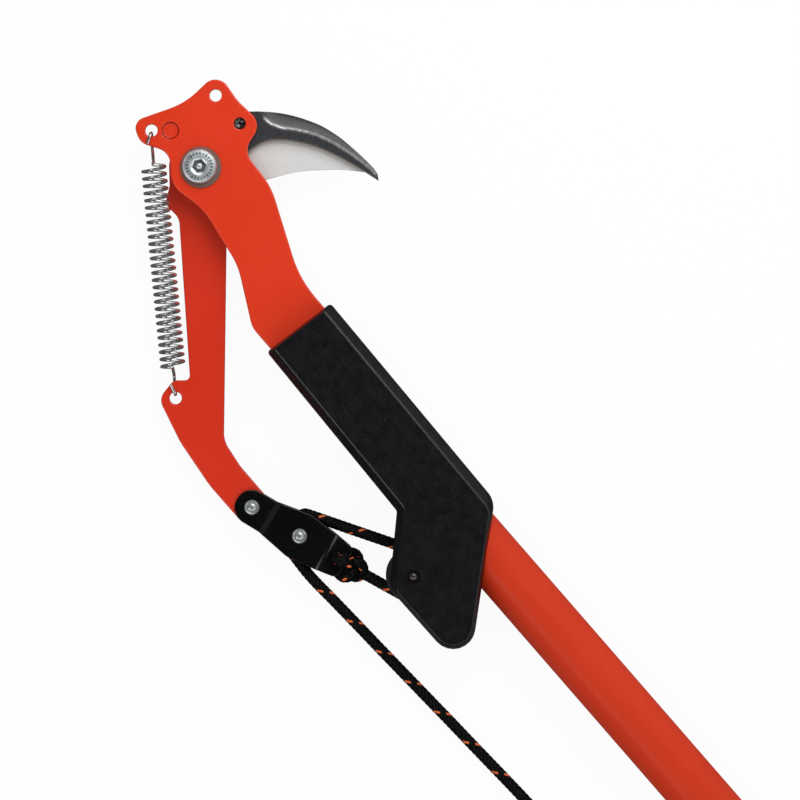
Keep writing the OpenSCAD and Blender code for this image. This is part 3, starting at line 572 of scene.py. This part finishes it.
# a turned shape: a profile point is (radius, height), or (radius, height, "hex") for a hexagon of that size
def lathe(name, profile, centre, sides=96, axis="z", sharpFrom=38):
    angles = 2 * math.pi * np.arange(sides) / sides
    sixth, toCorner = math.pi / 3, 1.0746  # corners a little outside the radius, flats a little inside
    hexed = 1 / np.cos(np.mod(angles, sixth) - sixth / 2) * math.cos(sixth / 2) * toCorner
    points, rings = [], []
    for r, z, *form in profile:
        if r == 0:
            rings.append([len(points)])
            points.append((0, 0, z))
        else:
            size = r * hexed if form else np.full(sides, r)
            rings.append(list(range(len(points), len(points) + sides)))
            points += [(size[k] * math.cos(a), size[k] * math.sin(a), z) for k, a in enumerate(angles)]
    faces = []
    for low, high in zip(rings, rings[1:]):
        for k in range(sides):
            j = (k + 1) % sides
            quad = [low[k % len(low)], low[j % len(low)], high[j % len(high)], high[k % len(high)]]
            faces.append(tuple(dict.fromkeys(quad)))
    if profile[0][0] and profile[-1][0]:  # a ring closes on itself
        for k in range(sides):
            j = (k + 1) % sides
            faces.append((rings[-1][k], rings[-1][j], rings[0][j], rings[0][k]))
    points = np.array(points, float)
    if axis == "x":
        points = points[:, [2, 0, 1]]
    mesh = newMesh(name, points + np.array(centre), faces)
    bm = bmesh.new()
    bm.from_mesh(mesh)
    bmesh.ops.recalc_face_normals(bm, faces=bm.faces)
    bm.to_mesh(mesh)
    bm.free()
    mesh.set_sharp_from_angle(angle=math.radians(sharpFrom))
    return linkMesh(name, mesh)


# hook: a dark forging with a hollow above its ridge

hook = {
    "outer": [(16, -24.6), (10, -32.2), (4, -39.3), (-0.6, -44.6), (-5.6, -49.4), (-10.4, -53.2), (-15.7, -56.7),
              (-21.2, -59.8), (-27, -62.4), (-36.4, -65.1), (-47.6, -66.8), (-57.5, -67.7), (-61.6, -67.6),
              (-64, -67), (-66.3, -65.4)],
    "inner": [(-66.3, -65.4), (-60.4, -63.7), (-53.8, -61.7), (-48.3, -59.8), (-42, -57.3), (-35.5, -54.4),
              (-29.5, -51), (-25.3, -48.1), (-20.9, -44.6), (-16.4, -40.2), (-13.4, -36.1), (-11.7, -32),
              (-10.8, -26), (-10.9, -18)],
    "hidden": [(-10.9, -18), (-12.2, -4), (-12.4, 5), (-9, 11), (-2, 12.3), (8, 10.8), (16, 8), (22.5, 5),
               (26.5, 0), (27.4, -5), (24.5, -9.2), (16.5, -14), (10.5, -17), (9.6, -19), (12.4, -21.8),
               (16, -24.6)],
    "holes": [((0, 0), 5.3), (pinAt, 3.05), (stud["at"], 4.25)],
    "ridgeAt": [(-66, 0.3), (-51, 0.37), (-38.5, 0.43), (-24.7, 0.48), (-12.8, 0.55), (-7.4, 0.43), (-1.9, 0.18),
                (1, 0)],  # place along the tool, and share of the way from the outer edge to the inner one
    "ridgeSpan": (-63, -2.5), "coveredFrom": 8, "curve": 2.1, "fall": 0.4, "brokenEdge": 0.5,
    "rubbed": (0.45, 1.1), "rubbedTo": 1, "brown": 0.4, "brownTo": -5,  # widths of the ridge's rubbed wear and painted highlight and of the brown edge, and where each ends
    "top": 0.95, "rim": -1.3, "back": -4.0, "grid": 0.8, "sharpFrom": 24}


def flatLine(points, step):  # an even, rounded line in the plane
    return evenly(smooth([(*p, 0) for p in points], 6), step)[:, :2]


def reach(points, line):  # distance from each point to a line
    a, d = line[:-1], np.diff(line, axis=0)
    t = np.einsum("psk,sk->ps", points[:, None] - a, d) / np.maximum(1e-9, (d * d).sum(1))
    t = np.clip(t, 0, 1)
    return np.linalg.norm(points[:, None] - a - t[:, :, None] * d, axis=2).min(1)


def ridgeLine(o, outer, inner, ridgeShare):  # where the ridge lies between the two edges
    nearest = inner[np.linalg.norm(outer[:, None] - inner[None], axis=2).argmin(1)]
    first, last = o["ridgeSpan"]
    ridge = []
    for p, q in zip(outer, nearest):
        across = p + np.linspace(0.02, 0.98, 60)[:, None] * (q - p)
        f = reach(across, outer) / (reach(across, outer) + reach(across, inner))
        hit = across[np.argmax(f >= ridgeShare(across[:, 0]))]
        if first < hit[0] < last and (not ridge or np.linalg.norm(hit - ridge[-1]) > 0.3):
            ridge.append(hit)
    return np.array(ridge)


def hookPlan(o, loops, ridge):  # the outline with its holes and ridge, filled with small triangles
    fixed = np.vstack([*loops, ridge])
    low, high = loops[0].min(0), loops[0].max(0)
    grid = np.array([(x + (j % 2) * o["grid"] / 2, y)
                     for j, y in enumerate(np.arange(low[1], high[1], o["grid"] * 0.87))
                     for x in np.arange(low[0], high[0], o["grid"])])
    grid = grid[np.linalg.norm(grid[:, None] - fixed[None], axis=2).min(1) > 0.5 * o["grid"]]
    links, start = [], 0
    for loop in loops:
        n = len(loop)
        links += [(start + i, start + (i + 1) % n) for i in range(n)]
        start += n
    links += [(start + i, start + i + 1) for i in range(len(ridge) - 1)]
    flat, _, faces, *_ = delaunay_2d_cdt([Vector(p) for p in np.vstack([fixed, grid])], links, [], 2, 1e-5)
    return np.array([tuple(p) for p in flat]), faces


def makeHook(o):
    outer, inner, hidden = flatLine(o["outer"], 0.8), flatLine(o["inner"], 0.8), flatLine(o["hidden"], 1.6)
    ridgeX, ridgeF = np.array(sorted(o["ridgeAt"])).T

    def ridgeShare(x):
        return np.interp(x, ridgeX, ridgeF)

    ridge = ridgeLine(o, outer, inner, ridgeShare)
    turn = 2 * math.pi * np.arange(40) / 40
    circle = np.stack([np.cos(turn), np.sin(turn)], 1)
    loops = [np.vstack([outer[:-1], inner[:-1], hidden[:-1]])] + [np.array(c) + r * circle for c, r in o["holes"]]
    flat, faces = hookPlan(o, loops, ridge)
    x, dOuter, dInner, dRidge = flat[:, 0], reach(flat, outer), reach(flat, inner), reach(flat, ridge)
    f, r = dOuter / np.maximum(1e-6, dOuter + dInner), ridgeShare(x)
    hollow = o["rim"] + (o["top"] - o["rim"]) * np.clip(f / np.maximum(r, 1e-6), 0, 1) ** o["curve"]
    body = o["top"] - o["fall"] * np.clip((f - r) / np.maximum(0.05, 0.93 - r), 0, 1)
    body -= np.clip((o["brokenEdge"] - dInner) / o["brokenEdge"], 0, 1)
    z = np.where((f < r) & (dRidge > 0.05), hollow, body)
    z = np.where(x > o["coveredFrom"], o["top"], z)  # the root that the head plate covers
    count = len(flat)
    points = np.vstack([np.column_stack([flat, z]), np.column_stack([flat, np.full(count, o["back"])])])
    edgeUse = {(a, b) for face in faces for a, b in zip(face, [*face[1:], face[0]])}
    walls = [(b, a, a + count, b + count) for a, b in sorted(edgeUse) if (b, a) not in edgeUse]
    backs = [tuple(i + count for i in reversed(q)) for q in faces]
    mesh = newMesh("hook", points, [tuple(q) for q in faces] + backs + walls)
    narrow, wide = o["rubbed"]
    # the narrow line along the ridge is rubbed wear and painted highlight; the wider band fading over the hollow
    # above it is painted highlight
    worn = np.exp(-(dRidge / narrow) ** 2) + 0.45 * np.exp(-dRidge / wide) * (f < r)
    brown = np.exp(-(dInner / o["brown"]) ** 2)
    for name, value in (("ridge", worn * (x < o["rubbedTo"])), ("rim", brown * (x < o["brownTo"]))):
        layer = mesh.attributes.new(name, "FLOAT", "POINT")
        layer.data.foreach_set("value", np.concatenate([value, 0 * value]).astype(np.float32))
    mesh.set_sharp_from_angle(angle=math.radians(o["sharpFrom"]))
    standIn(linkMesh("hook", mesh), "hook")


makeHook(hook)
print("hook forged")


# pole and its plug

pole = {"r": 15.0, "wall": 1.5, "start": 3.0, "length": 1700.0, "lip": 0.3, "rings": 12, "ringInset": 20}
plug = {"length": 30.0, "wall": 2.5, "play": 0.05, "inside": 0.2, "dimple": (4.0, 4.6, 0.5)}


def makePole(o, p):
    butt = -pivot  # the butt's centre, mm from the pivot
    r, lip, start, end = o["r"], o["lip"], o["start"], o["start"] + o["length"]
    bore = r - o["wall"]
    profile = [(bore, start), (r - lip, start), (r, start + lip)]
    profile += [(r, x) for x in np.linspace(start + o["ringInset"], end - o["ringInset"], o["rings"])]
    profile += [(r, end - lip), (r - lip, end), (bore, end)]
    standIn(lathe("pole", profile, butt, 128, "x"), "pole")
    edge, neck, hollow, deep = r - p["inside"], bore - p["play"], bore - p["wall"], start + p["length"]
    low, high, sunk = p["dimple"]
    profile = [(0, sunk), (low, sunk), (high, 0), (edge - 1, 0), (edge - 0.3, 0.2), (edge, 0.9), (edge, start),
               (neck, start), (neck, deep), (hollow, deep), (hollow, start + p["wall"]), (0, start + p["wall"])]
    standIn(lathe("polePlug", profile, butt, axis="x"), "pole_plug")


makePole(pole, plug)
print("pole made")


# pivot bolt: a domed head with a small hexagon in a sunk middle, and a ring of fine ticks

bolt = {
    "r": 5.0, "head": 8.95, "rimDepth": 1.5, "seat": 6.0, "top": 9.4, "end": -18.4, "tip": 0.6,
    "dome": [  # radius, and depth below the top
        (0, 0.75), (1.1, 0.85), (1.5, 1.1), (1.6, 1.6), (3.3, 1.6, "hex"), (3.5, 0.5, "hex"), (4.1, 0.2),
        (4.6, 0.05), (5.1, 0), (6.6, 0.12), (7.9, 0.45), (8.1, 0.62), (8.3, 0.55), (8.65, 0.85)],
    "band": [(5.0, 0.3), (5.1, -0.01), (6.6, 0.08), (7.9, 0.42), (8.0, 0.7)],
    "socket": [(1.55, 1.0), (1.65, 1.55), (3.25, 1.55, "hex"), (3.45, 0.6, "hex"), (3.3, 1.9, "hex"), (1.5, 1.9)],
    "ticks": 24, "tickRing": 6.5, "tickDepth": 0.12, "tick": (0.55, 1.5, 0.5), "seed": 4}
pivotRing = {"at": (-0.75, -0.15, 0),
             "profile": [(5.2, 5.0), (10.5, 5.0), (10.7, 5.2), (10.7, 5.75), (10.45, 6.0), (5.2, 6.0)]}


def onRoot(piece):
    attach(piece, "root")


def makeBolt(o):
    def below(points):
        return [(r, o["top"] - depth, *form) for r, depth, *form in points]

    shank = [(o["head"], o["top"] - o["rimDepth"]), (o["head"], o["seat"]), (o["r"], o["seat"]),
             (o["r"], o["end"] + o["tip"]), (o["r"] - o["tip"], o["end"]), (0, o["end"])]
    standIn(lathe("pivotBolt", below(o["dome"]) + shank, (0, 0, 0)), "pivot_bolt")
    band = lathe("boltBand", below(o["band"]), (0, 0, 0))
    grey = platedSteel("bandZinc", (0.26, 0.29, 0.3), (0.74, 0.79, 0.79), 0.28, 1500.0, patchy=2.2)
    band.data.materials.append(grey)
    socket = lathe("boltSocket", below(o["socket"]), (0, 0, 0))
    # painted shade: the sunk hexagon gets a darker copy of the zinc, as its recess lies in shade
    socketShade = platedSteel("socketZinc", (0.05, 0.056, 0.062), (0.26, 0.28, 0.29), 0.25, 1500.0)
    socket.data.materials.append(socketShade)
    for piece in (band, socket):
        onRoot(piece)


class GeoTree:  # a Geometry Nodes tree with named inputs
    def __init__(self, name, **kinds):
        self.tree = bpy.data.node_groups.new(name, "GeometryNodeTree")
        self.sockets = {key: self.tree.interface.new_socket(key, in_out="INPUT", socket_type="NodeSocket" + kind)
                        for key, kind in kinds.items()}
        self.tree.interface.new_socket("Geometry", in_out="OUTPUT", socket_type="NodeSocketGeometry")
        self.given = self.tree.nodes.new("NodeGroupInput").outputs

    def add(self, kind, links, **settings):
        made = self.tree.nodes.new(kind)
        for key, value in settings.items():
            setattr(made, key, value)
        for key, value in links.items():
            if isinstance(value, bpy.types.NodeSocket):
                self.tree.links.new(value, made.inputs[key])
            else:
                made.inputs[key].default_value = value
        return made.outputs[0] if made.outputs else None

    def close(self, geometry):
        solid = self.add("GeometryNodeRealizeInstances", {0: geometry})
        painted = self.add("GeometryNodeSetMaterial", {"Geometry": solid, "Material": self.given["Material"]})
        self.add("NodeGroupOutput", {"Geometry": painted})
        return self

    def run(self, name, mesh, **values):  # runs on a mesh and gives the result as a plain mesh
        work = linkMesh(name + "Work", mesh)
        modifier = work.modifiers.new("nodes", "NODES")
        modifier.node_group = self.tree
        for key, value in values.items():
            modifier[self.sockets[key].identifier] = value
        return applied(work)


def ringOfTicks():  # small bars on a circle, each with its own length
    t = GeoTree("ringOfTicks", Count="Int", Radius="Float", Bar="Vector", Seed="Int", Material="Material")
    circle = t.add("GeometryNodeMeshCircle", {"Vertices": t.given["Count"], "Radius": t.given["Radius"]})
    outward = t.add("FunctionNodeAlignRotationToVector", {"Vector": t.add("GeometryNodeInputPosition", {})},
                    axis="Y", pivot_axis="Z")
    bar = t.add("GeometryNodeMeshCube", {"Size": t.given["Bar"]})
    vary = t.add("FunctionNodeRandomValue", {0: (1.0, 0.45, 0.7), 1: (1.6, 1.0, 1.0), "Seed": t.given["Seed"]},
                 data_type="FLOAT_VECTOR")
    return t.close(t.add("GeometryNodeInstanceOnPoints", {
        "Points": circle, "Instance": bar, "Rotation": outward, "Scale": vary}))


def makeTicks(o):
    steel = platedSteel("markZinc", (0.05, 0.055, 0.06), (0.22, 0.23, 0.24), 0.3)
    mesh = ringOfTicks().run("boltTicks", bpy.data.meshes.new("boltTicks"), Count=o["ticks"], Seed=o["seed"],
                             Radius=o["tickRing"] / 1000, Bar=tuple(k / 1000 for k in o["tick"]), Material=steel)
    mesh.transform(Matrix.Translation(Vector(spot((0, 0, o["top"] - o["tickDepth"])))))
    onRoot(linkMesh("boltTicks", mesh))


standIn(lathe("pivotRing", pivotRing["profile"], pivotRing["at"]), "pivot_ring")
makeBolt(bolt)
makeTicks(bolt)
print("pivot bolt made")


# rivets with a rolled rim and a domed middle, the sleeve pulley's axle and the hook's pin

rivets = {"r": 3.0, "rise": 1.6, "halfGrip": {"lever_rivet": 4.1, "bracket_pulley_rivet": 6.45},
          "crown": [(1.0, 0.95), (1.8, 0.82), (2.3, 0.58), (2.5, 0.4), (2.7, 0.42), (3.0, 0.7), (3.35, 0.78),
                    (3.7, 0.6), (3.92, 0.3), (4.0, 0.0)]}
axle = [(0, 17.6), (0.8, 17.52), (1.6, 17.2), (2.2, 16.75), (2.7, 16.1), (3.0, 15.3), (3.0, -16.6), (2.6, -17.0),
        (0, -17.0)]
pin = [(0, 2.75), (0.9, 2.85), (1.7, 3.15), (2.3, 3.55), (2.7, 3.8), (2.9, 3.75), (3.0, 3.55), (3.0, -3.8),
       (2.8, -4.0), (0, -4.0)]


def makeRivet(o, node, at):
    half = o["halfGrip"][node]
    top = [(0, half + o["rise"])] + [(r, half + h * o["rise"]) for r, h in o["crown"]]
    profile = top + [(o["r"], half)] + [(r, -z) for r, z in [(o["r"], half)] + top[::-1]]
    standIn(lathe(pieceName(node), profile, (*at, rope["z"]), 64), node)


makeRivet(rivets, "lever_rivet", leverRivet)
makeRivet(rivets, "bracket_pulley_rivet", bracketAxle)
standIn(lathe("sleevePulleyAxle", axle, (*sleeveAxle, 0), 64), "sleeve_pulley_axle")
standIn(lathe("hookPin", pin, (*pinAt, 0), 64), "hook_pin")
print("rivets, axle and pin made")


# return spring: hook through the ear, 28 curls, hook through the lever

spring = {"ear": (30.5, 6.6), "low": (-82.1, 88.7), "openLength": 111.64, "wire": 0.84, "sides": 10,
          "curlR": 5.9, "aside": -0.6, "curls": 28, "perCurl": 16, "first": 18.0, "last": 16.0,
          "topZ": 2.0, "lowZ": -9.25, "hookIn": 1.85, "overEar": 6.35, "underLever": -12.95}


def springLine(o):
    ear, low = np.array(o["ear"]), np.array(o["low"])
    length = np.linalg.norm(low - ear)
    d = (low - ear) / length
    side = np.array([-d[1], d[0]])
    top, under, out, end = o["overEar"], o["underLever"], length - o["hookIn"], length - o["last"]
    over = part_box("lever")[1][2] * 1000 + 1.3 * o["wire"]

    def at(s, z, across=0.0):  # s along the spring from the ear's hole
        return [*(ear + s * d + across * side), z]

    def curl(turns):
        f, a = turns / o["curls"], 2 * math.pi * turns
        along, z = o["first"] + f * (end - o["first"]), o["topZ"] + f * (o["lowZ"] - o["topZ"])
        return at(along, z + o["curlR"] * math.cos(a), o["aside"] * (1 - f) + o["curlR"] * math.sin(a))

    start = [at(6.8, top, -2.6), at(4.2, top + 0.2, -1.5), at(2.0, top - 0.2, -0.6), at(1.3, top - 2, -0.25),
             at(1.4, 2.0, -0.2), at(2.6, -0.3, -0.3), at(5.5, -0.9, -0.5), at(9, -0.5, -0.6), at(12.5, 0.8, -0.5),
             at(15, 4, -0.4), at(16.6, 6.6, -0.2)]
    curls = [curl(k / o["perCurl"]) for k in range(o["curls"] * o["perCurl"] + 1)]
    finish = [at(end + 1.2, 1 + o["lowZ"] + o["curlR"] * 0.3), at(end + 2.1, under + 3),
              at(end + 3.6, under + 0.3), at(length - 9, under), at(out - 1.8, under), at(out - 0.5, under + 0.7),
              at(out, -10.6), at(out, -7.6), at(out - 0.4, over - 0.5), at(out - 1.6, over, -0.4),
              at(out - 5.2, over + 0.1, -1.9)]
    return smooth([*start, *curls, *finish], 2), d, length


def wireAlongLine():
    t = GeoTree("wireAlongLine", Geometry="Geometry", Radius="Float", Sides="Int", Material="Material")
    line = t.add("GeometryNodeMeshToCurve", {"Mesh": t.given["Geometry"]})
    ring = t.add("GeometryNodeCurvePrimitiveCircle", {
        "Radius": t.given["Radius"], "Resolution": t.given["Sides"]})
    sweep = t.add("GeometryNodeCurveToMesh", {"Curve": line, "Profile Curve": ring, "Fill Caps": True})
    return t.close(t.add("GeometryNodeSetShadeSmooth", {"Geometry": sweep}))


def makeSpring(o):
    line, d, length = springLine(o)
    mesh = newMesh("returnSpring", line, [], [(i, i + 1) for i in range(len(line) - 1)])
    made = wireAlongLine().run("returnSpring", mesh, Radius=o["wire"] / 1000, Sides=o["sides"],
                               Material=finishes["spring_zinc"])
    piece = standIn(linkMesh("returnSpring", made), "return_spring")
    o["openLength"] / length
    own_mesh(piece)


makeSpring(spring)
print("spring wound")


# knots: the rope's own braid in a tight overhand ball, and a loop through the bracket's end

knots = {
    "anchor": {"ring": 4.6, "swing": 2.5, "rise": 5.2, "braidFrom": 5.0},
    "end": {"ring": 1.7, "swing": 0.8, "rise": 1.6, "braidFrom": 3.0,
            "past": 10.5, "above": 3.4, "way": (0.8, 0.6)},
    "loop": [(60, 5), (57.5, 7.6), (54.2, 9.0), (51.2, 7.6), (50.5, 3.5),
             (50.5, -3.5), (51.2, -6.0), (54.2, -6.8), (57.5, -6.2), (60, -5)],  # along the bracket, and up
    "loopBraidFrom": 2.0, "step": 0.6, "up": (0.3, 0.2, 1), "loopUp": (0.3, 0.9, 0.1)}


def knotLine(o, centre, way):
    t = np.linspace(0, 2 * math.pi, 180)
    r = o["ring"] + o["swing"] * np.cos(3 * t)
    x, y, z = r * np.cos(2 * t), r * np.sin(2 * t), o["rise"] * np.sin(3 * t)
    line = np.stack([centre[0] + x * way[0] - y * way[1], centre[1] + x * way[1] + y * way[0], centre[2] + z], 1)
    return evenly(line, knots["step"])


def knotPiece(name, line, start, node, body, up):
    piece = ropePiece(name, line, start, node, paint=knotPaint, up=up)
    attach(piece, body)
    return piece


def makeKnots(o):
    anchor, end = o["anchor"], o["end"]
    mid = (*(leverRivet + strap["knot"] * strapLine), rope["z"])
    ball = knotLine(anchor, mid, strapLine)
    knotPiece("anchorKnot", ball, anchor["braidFrom"], "anchor_knot", "bracket", o["up"])
    loop = evenly(smooth([(*(leverRivet + x * strapLine), rope["z"] + z) for x, z in o["loop"]]), o["step"])
    knotPiece("anchorLoop", loop, o["loopBraidFrom"], "anchor_knot", "bracket", o["loopUp"])
    mid = (coil["start"][0] - end["past"], coil["start"][1], coil["z"] + coil["rise"] + end["above"])
    ball = knotLine(end, mid, end["way"])
    return knotPiece("ropeEndKnot", ball, end["braidFrom"], "rope_end_knot", "root", o["up"])


endKnot = makeKnots(knots)
print("knots tied")


# woven band round the coil, its end folded back over the top

tie = {"round": 3.0, "thick": 0.7, "edge": 0.25, "lead": 8.0, "flap": 9.0, "perCorner": 8}


# a flat strip along a line in the YZ plane; out is each point's outward way
def bandMesh(name, line, out, x0, x1, t):
    half, edge = t["thick"] / 2, t["edge"]
    section = [(x0 + edge, half), (x1 - edge, half), (x1, 0), (x1 - edge, -half), (x0 + edge, -half), (x0, 0)]
    points = [(x, *(p + h * n)) for p, n in zip(line, out) for x, h in section]
    k = len(section)
    faces = [(i * k + j, i * k + (j + 1) % k, (i + 1) * k + (j + 1) % k, (i + 1) * k + j)
             for i in range(len(line) - 1) for j in range(k)]
    faces += [tuple(range(k))[::-1], tuple(range((len(line) - 1) * k, len(line) * k))]
    return newMesh(name, points, faces)


def makeTie(t):
    corners = np.array([v.co for v in frame["nodes"]["coil_tie"].data.vertices]) * 1000 - pivot
    low, high = corners.min(0), corners.max(0)
    r, half, per = t["round"], t["thick"] / 2, t["perCorner"]
    line, out = [], []
    for (sy, sz), start in (((1, 1), 0), ((-1, 1), 90), ((-1, -1), 180), ((1, -1), 270)):
        mid = np.array([high[1] - r if sy > 0 else low[1] + r, high[2] - r if sz > 0 else low[2] + r])
        for a in np.radians(np.linspace(start, start + 90, per)):
            n = np.array([math.cos(a), math.sin(a)])
            line.append(mid + (r - half) * n)
            out.append(n)
    up = np.array([0.0, 1.0])
    # from the top's middle round once, then back over itself
    begin = [line[per] + [s, 0] for s in np.linspace(t["lead"], 0, per + 1)]
    flap = [line[per - 1] - [s, 0] for s in np.linspace(1, 2 + t["flap"], per)]
    route = begin + line[per + 1:] + line[:per] + flap
    ways = [up] * len(begin) + out[per + 1:] + out[:per] + [up] * len(flap)
    lift = np.concatenate([np.zeros(len(route) - 12), np.linspace(0, t["thick"], 6), np.full(6, t["thick"])])
    route = [p + h * n for p, h, n in zip(route, lift, ways)]
    return standIn(linkMesh("tieBand", bandMesh("tieBand", route, ways, low[0], high[0], t)), "coil_tie")


tieBand = makeTie(tie)
print("band tied")


# floor, world and lamps

stage = {
    "half": 6.0, "diffuse": 0.64, "above": 0.022, "floorGlow": 0.94, "floorShine": 0.1,
    "boxes": [  # bright fields that shiny surfaces see: way there, cosines of rim and core, brightness
        ((-0.36, -0.86, 0.36), 0.84, 0.97, 1.0), ((-0.70, -0.24, 0.67), 0.93, 0.985, 1.6),
        ((0.05, 0.7, 0.71), 0.94, 0.99, 2.6), ((0.9, 0.1, 0.4), 0.86, 0.97, 0.2)]}
lamps = {"key": {"at": (300, -780, 950), "aim": (-100, 20, 0), "power": 9.8, "size": 1.0},
         "fill": {"at": (-1300, 700, 1500), "aim": (-200, 20, 0), "power": 5.5, "size": 1.2}}


def makeFloor(o):
    half, low = o["half"], cadBounds[0][2]
    mesh = bpy.data.meshes.new("floor")
    corners = [(-half, -half, low), (half, -half, low), (half, half, low), (-half, half, low)]
    mesh.from_pydata(corners, [], [(0, 1, 2, 3)])
    p = Paint("floorWhite", Base_Color=(0.9, 0.9, 0.9, 1), Roughness=0.9, Specular_IOR_Level=0.1)
    rays = p.rays()
    camera, glossy = rays["Is Camera Ray"], rays["Is Glossy Ray"]
    glow = p.add("ShaderNodeEmission", None, {
        "Color": (1, 1, 1, 1), "Strength": camera + glossy * o["floorShine"]})
    mixed = p.add("ShaderNodeMixShader", None, {
        0: camera * o["floorGlow"] + glossy, 1: Wire(p, p.shader.outputs[0]), 2: glow})
    p.tree.links.new(mixed.socket, p.tree.nodes["Material Output"].inputs["Surface"])
    mesh.materials.append(p.material)
    linkMesh("floor", mesh)


def makeWorld(o):
    scene.world = bpy.data.worlds.new("studio")
    scene.world.use_nodes = True
    scene.world.cycles.sampling_method = "NONE"  # so that shiny rays meet their own sky
    w = Nodes(scene.world.node_tree)
    toward = w.add("ShaderNodeTexCoord", out="Generated")
    rays = w.rays()
    camera, glossy = rays["Is Camera Ray"], rays["Is Glossy Ray"]
    sky = o["above"]
    for way, rim, core, bright in o["boxes"]:
        facing = w.add("ShaderNodeVectorMath", {"operation": "DOT_PRODUCT"},
                       {0: toward, 1: Vector(way).normalized()}, out="Value")
        sky = sky + w.add("ShaderNodeMapRange", {"interpolation_type": "SMOOTHSTEP"}, {
            "Value": facing, "From Min": rim, "From Max": core, "To Min": 0.0, "To Max": bright})
    level = camera + (1 - camera) * (glossy * sky + (1 - glossy) * o["diffuse"])
    background = w.tree.nodes["Background"]
    w.tree.links.new(level.socket, background.inputs["Strength"])
    background.inputs["Color"].default_value = (1, 1, 1, 1)


def makeLamp(name, o):
    lamp = bpy.data.objects.new(name, bpy.data.lights.new(name, "AREA"))
    scene.collection.objects.link(lamp)
    lamp.data.energy, lamp.data.size = o["power"], o["size"]
    place, target = Vector(spot(o["at"])), Vector(spot(o["aim"]))
    lamp.matrix_world = Matrix.Translation(place) @ (target - place).to_track_quat("-Z", "Y").to_matrix().to_4x4()


makeFloor(stage)
makeWorld(stage)
for lampName, lamp in lamps.items():
    makeLamp(lampName, lamp)
scene.view_settings.view_transform = "Standard"
print("stage lit")
